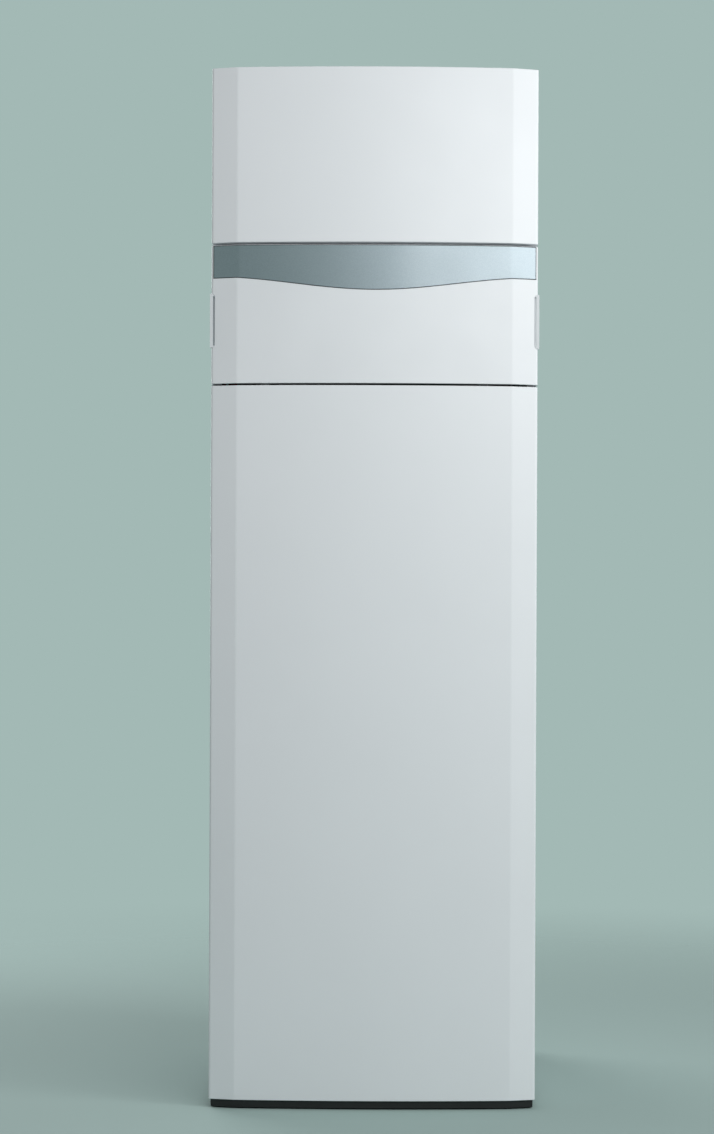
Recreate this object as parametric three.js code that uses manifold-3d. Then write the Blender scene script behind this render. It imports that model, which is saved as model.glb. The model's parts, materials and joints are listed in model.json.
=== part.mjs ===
// A floor-standing gas condensing boiler with a hot-water cylinder in its lower half.
// Millimetres, +Z up, front toward -Y, origin on the floor under the middle of the casing.

import * as THREE from "three";
import { mergeVertices } from "three/addons/utils/BufferGeometryUtils.js";
import Module from "manifold-3d";

const wasm = await Module();
wasm.setup();

// Overall casing
const caseWidth = 594;
const overallDepth = 693;
const floorGap = 16;
const lowerPanelHeight = 1296.7;
const lowerSeam = 3.6;
const flapHeight = 251.7;
const upperSeam = 4;
const upperPanelHeight = 318;
const sheet = 1.5;
const sideFlange = 18;
const sideSeam = 1;

// Clearances: fit lies between faces that rest on each other, cut is the overrun of every cutting solid
const fit = 0.3;
const cut = 5;

// Front seen from above: a shallow bulge between two flat chamfers
const chamferWidth = 47;
const chamferDepth = 11;
const bulge = 9;
const cornerSetback = 4;
const returnDepth = 24.5;
const bulgeSteps = 12;

// Sides of round solids and steps of rounded corners
const wide = 24;
const round = 14;
const small = 10;
const hexagon = 6;
const cornerSteps = 4;

// Sub-parts, each with its own sizes
const band = { topGap: 2, endHeight: 57.3, sag: 22.2, sideGap: 4.5, thickness: 1.5, proud: 0.6, steps: 20 };
const flap = { wall: 2.5 };
const ledge = { depth: 14, sideGap: 40 };
const grip = {
  above: 65.7, height: 98, proud: 2.5, lipWidth: 5.3, slotWidth: 3.5, lipThickness: 6, forward: 1,
  endWidth: 4, cornerRadius: 7, cupDepth: 18.5, cupWall: 2, backGap: 1.6,
};
const hinge = { setback: 24, drop: 32, pinRadius: 2.5, bore: 2.8, sideInset: 27, rodOverhang: 1.5 };
const arm = {
  thickness: 4, width: 7, reach: 40, rise: 76, eyeRadius: 6, tabThickness: 4, tabFront: 4, tabDepth: 15,
};
const ear = { thickness: 3, gap: 2.5, eyeRadius: 5.5, footDepth: 40 };
const shelf = {
  drop: 50.7, plate: 2, railInset: 39, railSetback: 29, railDepth: 20, postInset: 97, postSize: 16,
};
const panelScrew = { inset: 97, setback: 38, radius: 2.5, headRadius: 4.5, headHeight: 3, length: 14 };
const base = {
  plinthInset: 4, plinthDrop: 2.5, plate: 2, rim: 42, bossRadius: 14, bossHeight: 14, standReachShare: 0.5,
};
const foot = {
  padRadius: 22, padHeight: 9, padEdge: 3, studRadius: 5, studHeight: 62, sideInset: 57, frontInset: 100,
  rearInset: 60,
};
const control = {
  sideInset: 42, bottomGap: 17.3, topGap: 12, setback: 29.9, plate: 3, depth: 126, wall: 2, frameDepth: 15.7,
};
const display = { width: 120, height: 64, above: 145, thickness: 2.4 };
const key = {
  radius: 8, lip: 1.6, lipThickness: 1.6, proud: 2.5, edge: 0.6, pitch: 36, above: 75, holeGap: 0.3,
};
const rocker = {
  endInset: 87, above: 120, width: 20, radius: 14.5, pivotDepth: 10, faceForward: 11, faceDip: 1.3,
  faceHalf: 9.4, tail: 2, tailHalf: 6, tilt: 8, openingHalf: 13.4, sideGap: 0.5, arcSteps: 5,
};
const gauge = {
  endInset: 87, above: 120, bezelRadius: 31, bezelHeight: 2.7, barrelRadius: 27, barrelDepth: 52,
  lensRadius: 26.5, lensThickness: 2, dialRadius: 24, dialDepth: 8, pinRadius: 1.5, hubRadius: 4,
  needleThickness: 1, needleLength: 17, needleWidth: 2, needleGap: 2.5, tailLength: 5,
};
const drum = {
  radius: 135, wall: 3, topGap: 38, nozzleRadius: 11, nozzleWall: 2, drainRadius: 8, nozzleDrop: 45,
  flueGap: 12.7, ventRadius: 12, ventX: 60,
};
const door = {
  thickness: 12, radius: 126, opening: 36, burnerRadius: 34, burnerWall: 2, burnerLength: 120, burnerHoles: 4,
  portRadius: 2,
};
const fan = {
  radius: 85, depth: 63, wall: 3, motorRadius: 38, motorDepth: 48, inletRadius: 20, inletLength: 26,
  shaftRadius: 4, shaftInMotor: 30, impellerRadius: 66, impellerDepth: 34, impellerGap: 3, discThickness: 3,
  blades: 9, bladeThickness: 2, hubRadius: 12,
};
const valve = { width: 80, backGap: 3.5, height: 84, capRadius: 24, capHeight: 12, boreDepth: 20 };
const electrode = { radius: 5, length: 62, neck: 16, flangeRadius: 11, flangeThickness: 4, ring: 108 };
const collar = {
  outerRadius: 50, innerRadius: 30, outerWall: 4, innerWall: 3, height: 95, innerDrop: 24, flangeRadius: 75,
  flangeThickness: 3, webThickness: 4, webHeight: 12, webDrop: 20,
};
const bay = { frontGap: 66, fluePitch: 170, pipeRowInset: 56.5, drumToPipes: 89 };
const vessel = { radius: 165, thickness: 85, wall: 2, edge: 14, sideGap: 2, nozzleRadius: 7, nozzleBore: 4 };
const pump = {
  x: 95, above: 108, voluteRadius: 50, voluteHalf: 30, portRadius: 15, portBore: 9, portReach: 65,
  motorRadius: 44, motorLength: 92, wall: 4, rotorRadius: 27, rotorLength: 58, impellerRadius: 38,
  impellerThickness: 8, shaftRadius: 4, running: 1.2, bearingDepth: 10,
};
const riser = { backShare: 0.162, tapBackShare: 0.557 };
const diverter = {
  halfWidth: 22, halfHeight: 22, halfDepth: 22, above: 136, boreRadius: 14, wall: 5, portBore: 8, headHalf: 25,
  headDepth: 58, rodRadius: 4, discRadius: 13.6, discThickness: 6, rodLength: 62, portRadius: 13, portReach: 12,
};
const relief = {
  inletLength: 18, inletRadius: 9, bodyRadius: 16, bodyBelow: 26, bodyAbove: 30, outletRadius: 9,
  outletLength: 40, pinRadius: 4, pinHeight: 14, knobRadius: 18, knobHeight: 20, knobFlutes: 8, fluteRadius: 3,
};
const vent = { radius: 12, height: 24, stemRadius: 6, stemHeight: 6, bossHeight: 2 };
const trap = {
  radius: 32, height: 186, wall: 2, spigotRadius: 6, spigotLength: 30, spigotAbove: 30, insertion: 40,
  setback: 40,
};
const foam = { sideGap: 33, leverGap: 22, thickness: 36, standGap: 8, topGap: 45 };
const tank = { wall: 3, dome: 42, foamGap: 0.5, domeSteps: 4, holeGap: 0.6 };
const coil = {
  radius: 13, inset: 33, pitch: 42, turns: 5, bottomGap: 70, stepsPerTurn: 14, sides: 6, bend: 32,
};
const anode = { radius: 13, length: 560, headRadius: 20, headHeight: 14, shareBack: 0.42 };
const drain = {
  above: 90, tubeRadius: 13, bore: 8, tubeOut: 10, bodyRadius: 15, bodyLength: 38, spoutRadius: 9, spoutBore: 6,
  spoutLength: 26, stemRadius: 4, stemHeight: 9, leverWidth: 12, leverLength: 52, leverThickness: 4,
};
const pipe = {
  radius: 11, wall: 1.5, bend: 28, bendSteps: 3, stub: 78, unionRadius: 16, unionHeight: 12, holeGap: 0.8,
  sides: 8,
};
const gas = { radius: 9, wall: 1.5, bend: 16, valveGap: 23.7 };
const supply = { coldShare: 0.75, coldBackShare: 0.38, hotBackShare: 0.46, dip: 60, elbowAbove: 30 };

// Planes and places worked out from those sizes
const halfWidth = caseWidth / 2;
const rearY = overallDepth / 2;
const faceY = -rearY + band.proud;
const bendY = faceY + bulge;
const cornerY = bendY + chamferDepth;
const panelBackY = cornerY + returnDepth;
const sideFrontY = panelBackY + sideSeam;
const innerFrontY = sideFrontY + sheet + fit;
const innerRearY = rearY - sheet - fit;
const innerHalf = halfWidth - sheet - fit;
const betweenFlanges = halfWidth - sideFlange - fit;
const lowerPanelTop = floorGap + lowerPanelHeight;
const flapBottom = lowerPanelTop + lowerSeam;
const flapTop = flapBottom + flapHeight;
const upperPanelBottom = flapTop + upperSeam;
const caseTop = upperPanelBottom + upperPanelHeight;
const coverBottom = caseTop - sheet;
const shelfTop = lowerPanelTop - shelf.drop + shelf.plate;
const shelfBottom = shelfTop - shelf.plate;
const hingeY = faceY + hinge.setback;
const hingeZ = lowerPanelTop - hinge.drop;
const armX = halfWidth - hinge.sideInset;
const controlHalf = halfWidth - control.sideInset;
const gaugeX = -(controlHalf - gauge.endInset);
const rockerX = controlHalf - rocker.endInset;
const controlBottom = lowerPanelTop + control.bottomGap;
const controlTop = flapTop - control.topGap;
const fasciaY = faceY + control.setback;
const boxFrontY = fasciaY + control.frameDepth + fit;
const pipeRowY = rearY - bay.pipeRowInset;
const drumBackY = pipeRowY - pipe.radius - bay.drumToPipes;
const motorFrontY = panelBackY + bay.frontGap;
const fanFrontY = motorFrontY + fan.motorDepth;
const doorFrontY = fanFrontY + fan.depth + fit;
const drumFrontY = doorFrontY + door.thickness + fit;
const drumZ = coverBottom - drum.topGap - drum.radius;
const flueY = pipeRowY - bay.fluePitch;
const valveRight = -fan.radius - fan.inletLength - fit;
const valveLeft = valveRight - valve.width;
const pumpZ = shelfTop + pump.above;
const returnZ = pumpZ - pump.portReach - pipe.bend - fit;
const diverterZ = shelfTop + diverter.above;
const tankY = (innerFrontY + innerRearY) / 2;
const leverReach = drain.tubeOut + fit + drain.bodyLength / 2 + drain.leverLength;
const sideRoom = halfWidth - foam.sideGap;
const frontRoom = tankY - faceY - sheet - leverReach - foam.leverGap;
const foamRadius = Math.min(sideRoom, frontRoom);
const foamBottom = floorGap + base.plate + foam.standGap;
const foamTop = shelfBottom - foam.topGap;
const tankRadius = foamRadius - foam.thickness;
const tankBottom = foamBottom + foam.thickness;
const tankTop = foamTop - foam.thickness;
const riserY = tankY + riser.backShare * tankRadius;
const tapY = tankY + riser.tapBackShare * tankRadius;
const elbowZ = shelfTop + supply.elbowAbove;
const coldY = tankY + supply.coldBackShare * tankRadius;
const hotY = tankY + supply.hotBackShare * tankRadius;
const anodePlace = [0, tankY - anode.shareBack * tankRadius];
const drainZ = tankBottom + drain.above;
const drainMouthY = tankY - foamRadius - drain.tubeOut;
const electrodePlace = [electrode.ring / Math.SQRT2, drumZ + electrode.ring / Math.SQRT2];
const ventSeatZ = drumZ + drum.radius + vent.bossHeight;
const trapY = drumFrontY + trap.setback;
const trapTop = shelfTop + fit + trap.height;
const reliefOffset = relief.inletLength + relief.bodyRadius;
const stubPlaces = {
  gas: [valveLeft - gas.valveGap, pipeRowY],
  cold: [-supply.coldShare * tankRadius, pipeRowY],
  back: [-pump.x, pipeRowY],
  hot: [0, pipeRowY],
  flow: [pump.x, pipeRowY],
};

// What rises out of the cylinder's top, and how wide it is
const cylinderTaps = [
  { place: [-pump.x, tapY], radius: coil.radius },
  { place: [pump.x, riserY], radius: coil.radius },
  { place: [stubPlaces.cold[0], coldY], radius: pipe.radius },
  { place: [0, hotY], radius: pipe.radius },
  { place: anodePlace, radius: anode.radius },
];

const X = new THREE.Vector3(1, 0, 0);
const Y = new THREE.Vector3(0, 1, 0);
const Z = new THREE.Vector3(0, 0, 1);

// Turns a closed three.js geometry into a solid that can be joined and cut.
function toSolid(geometry) {
  const bare = geometry.index ? geometry.toNonIndexed() : geometry;
  bare.deleteAttribute("normal");
  bare.deleteAttribute("uv");
  const merged = mergeVertices(bare);
  const corners = merged.index.array;
  const triangles = [];
  for (let i = 0; i < corners.length; i += 3) {
    const [a, b, c] = corners.slice(i, i + 3);
    if (a !== b && b !== c && c !== a) triangles.push(a, b, c);
  }
  const mesh = new wasm.Mesh({
    numProp: 3,
    vertProperties: new Float32Array(merged.attributes.position.array),
    triVerts: Uint32Array.from(triangles),
  });
  return new wasm.Manifold(mesh);
}

function join(first, ...others) {
  return others.reduce((whole, solid) => whole.add(solid), first);
}

function carve(body, ...tools) {
  return tools.reduce((left, tool) => left.subtract(tool), body);
}

// A block between two values on each axis, given in either order.
function block([x0, x1], [y0, y1], [z0, z1]) {
  const geometry = new THREE.BoxGeometry(Math.abs(x1 - x0), Math.abs(y1 - y0), Math.abs(z1 - z0));
  geometry.translate((x0 + x1) / 2, (y0 + y1) / 2, (z0 + z1) / 2);
  return toSolid(geometry);
}

const turns = {
  x: new THREE.Matrix4().makeRotationZ(-Math.PI / 2),
  y: new THREE.Matrix4(),
  z: new THREE.Matrix4().makeRotationX(Math.PI / 2),
};
const places = {
  x: ([y, z]) => [0, y, z],
  y: ([x, z]) => [x, 0, z],
  z: ([x, y]) => [x, y, 0],
};

// A solid turned about a line along an axis; the profile holds radius and place along the axis.
function turned(axis, profile, centre, sides = round) {
  const points = profile.map(([radius, along]) => new THREE.Vector2(radius, along));
  if (THREE.ShapeUtils.area(points) < 0) points.reverse();
  const closed = points[0].x > 0 ? [...points, points[0].clone()] : points;
  const geometry = new THREE.LatheGeometry(closed, sides);
  geometry.applyMatrix4(turns[axis]);
  geometry.translate(...places[axis](centre));
  return toSolid(geometry);
}

function rod(axis, radius, [from, to], centre, sides = round) {
  return turned(axis, [[0, from], [radius, from], [radius, to], [0, to]], centre, sides);
}

// A round cutter whose flats, not only its corners, clear the radius.
function hole(axis, radius, span, centre, sides = round) {
  return rod(axis, radius / Math.cos(Math.PI / sides), span, centre, sides);
}

const bases = {
  x: new THREE.Matrix4().makeBasis(Y, Z, X),
  y: new THREE.Matrix4().makeBasis(X, Z, Y.clone().negate()),
  z: new THREE.Matrix4(),
};

// An outline pushed along an axis: drawn in Y-Z for x, in X-Z for y and in X-Y for z.
function extruded(axis, outline, [from, to]) {
  const shape = new THREE.Shape(outline.map(([u, v]) => new THREE.Vector2(u, v)));
  const geometry = new THREE.ExtrudeGeometry(shape, { depth: to - from, bevelEnabled: false });
  geometry.applyMatrix4(bases[axis]);
  geometry.translate(...{ x: [from, 0, 0], y: [0, to, 0], z: [0, 0, from] }[axis]);
  return toSolid(geometry);
}

// A route with straight runs and round bends, walked station by station.
class Route extends THREE.Curve {
  constructor(stations) {
    super();
    this.stations = stations;
  }
  station(share) {
    return this.stations[Math.round(share * (this.stations.length - 1))];
  }
  getPointAt(share, target = new THREE.Vector3()) {
    return target.copy(this.station(share).point);
  }
  getTangentAt(share, target = new THREE.Vector3()) {
    return target.copy(this.station(share).heading);
  }
}

// Stations along a line of corners, each corner rounded to the bend radius.
function stationsAlong(corners, bend) {
  const points = corners.map((corner) => new THREE.Vector3(...corner));
  const stations = [];
  const heading = (from, to) => to.clone().sub(from).normalize();
  stations.push({ point: points[0], heading: heading(points[0], points[1]) });
  for (let i = 1; i < points.length - 1; i += 1) {
    const before = heading(points[i - 1], points[i]);
    const after = heading(points[i], points[i + 1]);
    const angle = before.angleTo(after);
    const setback = bend * Math.tan(angle / 2);
    const start = points[i].clone().addScaledVector(before, -setback);
    const inward = after.clone().addScaledVector(before, -after.dot(before)).normalize();
    const centre = start.clone().addScaledVector(inward, bend);
    for (let step = 0; step <= pipe.bendSteps; step += 1) {
      const turn = (angle * step) / pipe.bendSteps;
      const point = centre.clone().addScaledVector(inward, -bend * Math.cos(turn));
      point.addScaledVector(before, bend * Math.sin(turn));
      const direction = before.clone().multiplyScalar(Math.cos(turn)).addScaledVector(inward, Math.sin(turn));
      stations.push({ point, heading: direction });
    }
  }
  const last = points.length - 1;
  stations.push({ point: points[last], heading: heading(points[last - 1], points[last]) });
  return stations;
}

// A tube of round section along a route, hollow where it is given a wall.
function tube(stations, radius, wall = 0, sides = pipe.sides) {
  const circle = (size) =>
    Array.from({ length: sides }, (_, i) => {
      const angle = (2 * Math.PI * i) / sides;
      return new THREE.Vector2(size * Math.cos(angle), size * Math.sin(angle));
    });
  const section = new THREE.Shape(circle(radius));
  if (wall > 0) section.holes.push(new THREE.Path(circle(radius - wall)));
  const settings = { steps: stations.length - 1, extrudePath: new Route(stations), bevelEnabled: false };
  return toSolid(new THREE.ExtrudeGeometry(section, settings));
}

// The casing's outline seen from above, drawn in by an inset and closed along a straight back.
function frontOutline(inset, back) {
  const bend = new THREE.Vector2(-(halfWidth - chamferWidth), bendY);
  const corner = new THREE.Vector2(-halfWidth, cornerY);
  const radius = (bend.x ** 2 + bulge ** 2) / (2 * bulge);
  const centreY = faceY + radius;
  const chamferIn = new THREE.Vector2(chamferDepth, chamferWidth).normalize();
  const bulgeIn = new THREE.Vector2(-bend.x, centreY - bend.y).normalize();
  const sideIn = new THREE.Vector2(1, 0);
  const miter = (a, b) => a.clone().add(b).divideScalar(1 + a.dot(b));
  bend.addScaledVector(miter(chamferIn, bulgeIn), inset);
  corner.addScaledVector(miter(sideIn, chamferIn), inset);

  const setback = Math.max(cornerSetback - inset, 0);
  const along = new THREE.Vector2(chamferWidth, -chamferDepth).normalize();
  const sidePoint = corner.clone().setY(corner.y + setback);
  const chamferPoint = corner.clone().addScaledVector(along, setback);
  const rounding = new THREE.QuadraticBezierCurve(sidePoint, corner, chamferPoint).getPoints(cornerSteps);
  const cornerPoints = setback > 0 ? rounding : [corner];
  const left = [[corner.x, back], ...cornerPoints.map(({ x, y }) => [x, y]), [bend.x, bend.y]];

  const middle = [];
  for (let i = 1; i < bulgeSteps; i += 1) {
    const x = bend.x * (1 - (2 * i) / bulgeSteps);
    middle.push([x, centreY - Math.sqrt((radius - inset) ** 2 - x ** 2)]);
  }
  const right = left.map(([x, y]) => [-x, y]).reverse();
  return [...left, ...middle, ...right];
}

function frontSolid(inset, back, bottom, top) {
  return extruded("z", frontOutline(inset, back), [bottom, top]);
}

// The seat of the trim band: flat at its two ends, sagging to the middle.
function bandOutline(grow) {
  const end = halfWidth - band.sideGap + grow;
  const bend = halfWidth - chamferWidth;
  const top = flapTop - band.topGap + grow;
  const bottom = flapTop - band.topGap - band.endHeight - grow;
  const points = [[end, bottom], [end, top], [-end, top], [-end, bottom]];
  for (let i = 0; i <= band.steps; i += 1) {
    const x = bend * ((2 * i) / band.steps - 1);
    const swing = Math.sin((Math.PI / 2) * (1 - Math.abs(x) / bend));
    points.push([x, bottom - (band.sag * (swing + swing ** 2)) / 2]);
  }
  return points;
}

// Rounded window of one latch bar in the flap's edge, seen from the front.
function gripOutline(side, grow) {
  const outer = side * (halfWidth + grip.proud + grow);
  const inner = side * (halfWidth + grip.proud - grip.lipWidth - grip.slotWidth - grow);
  const bottom = flapBottom + grip.above - grow;
  const top = bottom + grip.height + 2 * grow;
  const inward = side * (grip.cornerRadius + grow);
  const corner = (z, toward) =>
    new THREE.QuadraticBezierCurve(
      new THREE.Vector2(inner + inward, z),
      new THREE.Vector2(inner, z),
      new THREE.Vector2(inner, z + toward * (grip.cornerRadius + grow)),
    ).getPoints(cornerSteps).map(({ x, y }) => [x, y]);
  return [[outer, bottom], ...corner(bottom, 1), ...corner(top, -1).reverse(), [outer, top]];
}

// Materials
function paint(color, roughness, metalness) {
  return new THREE.MeshStandardMaterial({ color, roughness, metalness, flatShading: true });
}
const materials = {
  whitePaint: paint(0xf1f4f6, 0.4, 0),
  silverTrim: paint(0xb9c0c4, 0.35, 0.8),
  blackPaint: paint(0x17181a, 0.6, 0),
  zincSheet: paint(0xaab0b4, 0.45, 0.9),
  darkPlastic: paint(0x2c2f33, 0.5, 0),
  greyPlastic: paint(0xc9cccf, 0.5, 0),
  redPlastic: paint(0xb5261e, 0.45, 0),
  glass: paint(0x8fa3a8, 0.08, 0),
  stainless: paint(0xb7babd, 0.3, 1),
  castAluminium: paint(0x9da1a5, 0.5, 0.9),
  castIron: paint(0x3a3d41, 0.6, 0.5),
  brass: paint(0xc4a45a, 0.35, 1),
  copper: paint(0xb8704a, 0.35, 1),
  redEnamel: paint(0xa32a22, 0.4, 0),
  foam: paint(0xd8d9d6, 0.9, 0),
  ceramic: paint(0xe9e4da, 0.4, 0),
  rubber: paint(0x1d1d1e, 0.8, 0),
};

const boiler = new THREE.Group();

function addPart(group, name, solid, material, position = [0, 0, 0]) {
  const { vertProperties, triVerts } = solid.getMesh();
  const geometry = new THREE.BufferGeometry();
  geometry.setAttribute("position", new THREE.BufferAttribute(vertProperties, 3));
  geometry.setIndex(new THREE.BufferAttribute(triVerts, 1));
  const mesh = new THREE.Mesh(geometry, material);
  mesh.name = name;
  mesh.position.set(...position);
  group.add(mesh);
  return mesh;
}

function addGroup(parent, position = [0, 0, 0]) {
  const group = new THREE.Group();
  group.position.set(...position);
  parent.add(group);
  return group;
}

// A folded front panel: bulged skin with returns on all four edges.
function foldedFront(bottom, top) {
  const hollow = frontSolid(sheet, panelBackY + cut, bottom + sheet, top - sheet);
  return carve(frontSolid(0, panelBackY, bottom, top), hollow);
}

function lowerFrontPanel() {
  const notchHalf = arm.thickness / 2 + sheet;
  const notchFront = hingeY - arm.width / 2 - sheet;
  const notches = [-1, 1].map((side) =>
    block(
      [side * armX - notchHalf, side * armX + notchHalf],
      [notchFront, panelBackY + cut],
      [lowerPanelTop - sheet - cut, lowerPanelTop + cut],
    ));
  const holes = [-1, 1].map((side) =>
    rod("z", panelScrew.radius + fit, [lowerPanelTop - cut, lowerPanelTop + cut], screwPlace(side), small));
  return carve(foldedFront(floorGap, lowerPanelTop), ...notches, ...holes);
}

function screwPlace(side) {
  return [side * (halfWidth - panelScrew.inset), faceY + panelScrew.setback];
}

function panelScrewSolid() {
  const { radius, headRadius, headHeight, length } = panelScrew;
  const profile = [[0, -length], [radius, -length], [radius, fit], [headRadius, fit]];
  return turned("z", [...profile, [headRadius, headHeight], [0, headHeight]], [0, 0], small);
}

function sidePanel(side) {
  const top = coverBottom - fit;
  const across = [side * halfWidth, side * (halfWidth - sideFlange)];
  const shell = block(across, [sideFrontY, rearY], [floorGap, top]);
  const inner = block(
    [side * (halfWidth - sheet), side * (halfWidth - sideFlange - cut)],
    [sideFrontY + sheet, rearY - sheet],
    [floorGap + sheet, top - sheet],
  );
  return carve(shell, inner);
}

function rearPanel() {
  return block([-betweenFlanges, betweenFlanges], [rearY - sheet, rearY], [floorGap, coverBottom - fit]);
}

// Top cover: a plate with a skirt, and a ledge in front from which the upper front panel hangs.
function topCover() {
  const skirtBottom = coverBottom - sideFlange;
  const plate = block([-halfWidth, halfWidth], [sideFrontY, rearY], [coverBottom, caseTop]);
  const skirt = carve(
    block([-betweenFlanges, betweenFlanges], [sideFrontY, innerRearY], [skirtBottom, coverBottom + sheet / 2]),
    block(
      [-betweenFlanges + sheet, betweenFlanges - sheet],
      [sideFrontY + sheet, innerRearY - sheet],
      [skirtBottom - cut, coverBottom],
    ),
  );
  const ledgeTop = coverBottom - fit;
  const ledgeHalf = halfWidth - ledge.sideGap;
  const hanger = block(
    [-ledgeHalf, ledgeHalf],
    [panelBackY - ledge.depth, sideFrontY + sheet],
    [ledgeTop - sheet, ledgeTop],
  );
  const span = [coverBottom - cut, caseTop + cut];
  const holes = Object.entries(stubPlaces).map(([name, place]) =>
    rod("z", (name === "gas" ? gas.radius : pipe.radius) + pipe.holeGap, span, place));
  const flueHole = rod("z", collar.outerRadius, span, [0, flueY], wide);
  return carve(join(plate, skirt, hanger), flueHole, ...holes);
}

// Base: an upturned plinth tray with a rimmed floor on it and a boss over each foot.
function footPlaces() {
  const x = halfWidth - foot.sideInset;
  return {
    foot_front_left: [-x, faceY + foot.frontInset],
    foot_front_right: [x, faceY + foot.frontInset],
    foot_rear_left: [-x, rearY - foot.rearInset],
    foot_rear_right: [x, rearY - foot.rearInset],
  };
}

function baseFrame() {
  const plinthTop = floorGap - fit;
  const floorTop = floorGap + base.plate;
  const inset = base.plinthInset;
  const plinth = carve(
    frontSolid(inset, rearY - inset, base.plinthDrop, plinthTop),
    frontSolid(inset + base.plate, rearY - inset - base.plate, base.plinthDrop - cut, plinthTop - base.plate),
  );
  const rimTop = floorGap + base.rim;
  const tray = carve(
    block([-betweenFlanges, betweenFlanges], [innerFrontY, innerRearY], [plinthTop - base.plate / 2, rimTop]),
    block(
      [-betweenFlanges + base.plate, betweenFlanges - base.plate],
      [innerFrontY + base.plate, innerRearY - base.plate],
      [floorTop, rimTop + cut],
    ),
  );
  const reach = foamRadius * base.standReachShare;
  const stands = [-1, 1].flatMap((sx) => [-1, 1].map((sy) =>
    rod("z", base.bossRadius, [floorGap, foamBottom - fit], [sx * reach, tankY + sy * reach], small)));
  const bosses = Object.values(footPlaces()).map((place) =>
    rod("z", base.bossRadius, [floorGap, floorGap + base.bossHeight], place, small));
  const holes = Object.values(footPlaces()).map((place) =>
    rod("z", foot.studRadius + fit, [base.plinthDrop, rimTop], place, small));
  return carve(join(plinth, tray, ...stands, ...bosses), ...holes);
}

function footSolid() {
  const { padRadius, padHeight, padEdge, studRadius, studHeight } = foot;
  return turned("z", [
    [0, 0],
    [padRadius - padEdge, 0],
    [padRadius, padEdge],
    [padRadius - padEdge, padHeight],
    [studRadius, padHeight],
    [studRadius, studHeight],
    [0, studHeight],
  ], [0, 0], small);
}

// Shelf between the cylinder and the boiler bay, with the rail, hinge ears and control-box posts.
function moduleShelf() {
  const plate = block([-innerHalf, innerHalf], [innerFrontY, innerRearY], [shelfBottom, shelfTop]);
  const railTop = lowerPanelTop - sheet - fit;
  const railHalf = halfWidth - shelf.railInset;
  const railFront = faceY + shelf.railSetback;
  const railBack = railFront + shelf.railDepth;
  const rail = carve(
    block([-railHalf, railHalf], [railFront, railBack], [shelfBottom, railTop]),
    block(
      [-railHalf - cut, railHalf + cut],
      [railFront + shelf.plate, railBack - shelf.plate],
      [shelfBottom - cut, railTop - shelf.plate],
    ),
  );
  const postX = halfWidth - shelf.postInset;
  const posts = [-1, 1].map((side) =>
    block(
      [side * postX - shelf.postSize / 2, side * postX + shelf.postSize / 2],
      [railBack - shelf.plate, railBack + shelf.postSize],
      [shelfBottom + shelf.plate / 2, controlBottom - fit],
    ));
  const ears = [-1, 1].map((side) => hingeEar(side));
  const screwHoles = [-1, 1].map((side) =>
    rod("z", panelScrew.radius + fit, [railTop - shelf.plate - cut, railTop + cut], screwPlace(side), small));
  const pipeHoles = cylinderTaps
    .filter(({ place }) => place !== anodePlace)
    .map(({ place, radius }) => hole("z", radius + pipe.holeGap, [shelfBottom - cut, shelfTop + cut], place));
  return carve(join(plate, rail, ...posts, ...ears), ...screwHoles, ...pipeHoles);
}

function hingeEar(side) {
  const inner = armX + arm.thickness / 2 + ear.gap;
  const span = [inner, inner + ear.thickness].map((x) => side * x).sort((a, b) => a - b);
  const footBack = hingeY + ear.footDepth;
  const outline = [
    [hingeY - ear.eyeRadius, hingeZ],
    [hingeY - ear.eyeRadius, shelfBottom],
    [footBack, shelfBottom],
    [footBack, shelfTop],
    [hingeY + ear.eyeRadius, hingeZ],
  ];
  const plate = join(extruded("x", outline, span), rod("x", ear.eyeRadius, span, [hingeY, hingeZ], small));
  return carve(plate, rod("x", hinge.bore, [span[0] - cut, span[1] + cut], [hingeY, hingeZ], small));
}

function hingeRod() {
  const end = armX + arm.thickness / 2 + ear.gap + ear.thickness + hinge.rodOverhang;
  return rod("x", hinge.pinRadius, [-end, end], [hingeY, hingeZ], small);
}

// Goose-necked hinge arm: back under the seam, up behind the flap, and out to the flap's side.
function hingeArm(side) {
  const span = [side * armX - arm.thickness / 2, side * armX + arm.thickness / 2];
  const half = arm.width / 2;
  const back = hingeY + arm.reach + half;
  const front = hingeY + arm.tabFront;
  const top = hingeZ + arm.rise;
  const level = block(span, [hingeY, back], [hingeZ - half, hingeZ + half]);
  const upright = block(span, [back - arm.width, back], [hingeZ - half, top]);
  const forward = block(span, [front, back], [top - arm.width, top]);
  const tabOuter = side * (halfWidth - flap.wall - fit);
  const tab = block([side * armX, tabOuter], [front, front + arm.tabDepth], [top - arm.tabThickness, top]);
  const eye = rod("x", arm.eyeRadius, span, [hingeY, hingeZ], small);
  const bore = rod("x", hinge.bore, [span[0] - cut, span[1] + cut], [hingeY, hingeZ], small);
  return carve(join(level, upright, forward, tab, eye), bore);
}

// Flap: bulged skin with side and top returns, open below so that it can swing past the panel under it.
function flapShell() {
  const shell = carve(
    frontSolid(0, panelBackY, flapBottom, flapTop),
    frontSolid(flap.wall, panelBackY + cut, flapBottom - cut, flapTop - flap.wall),
  );
  const pocketDepth = band.thickness - band.proud + fit;
  const pocket = carve(
    extruded("y", bandOutline(fit), [faceY - cut, cornerY]),
    frontSolid(pocketDepth, panelBackY, flapBottom, flapTop),
  );
  const windows = [-1, 1].map((side) => extruded("y", gripOutline(side, fit), [faceY - cut, panelBackY + cut]));
  return carve(shell, pocket, ...windows);
}

function flapBand() {
  const skin = carve(
    frontSolid(-band.proud, panelBackY, flapBottom, flapTop),
    frontSolid(band.thickness - band.proud, panelBackY + cut, flapBottom - cut, flapTop + cut),
  );
  return skin.intersect(extruded("y", bandOutline(0), [faceY - cut, cornerY]));
}

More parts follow.
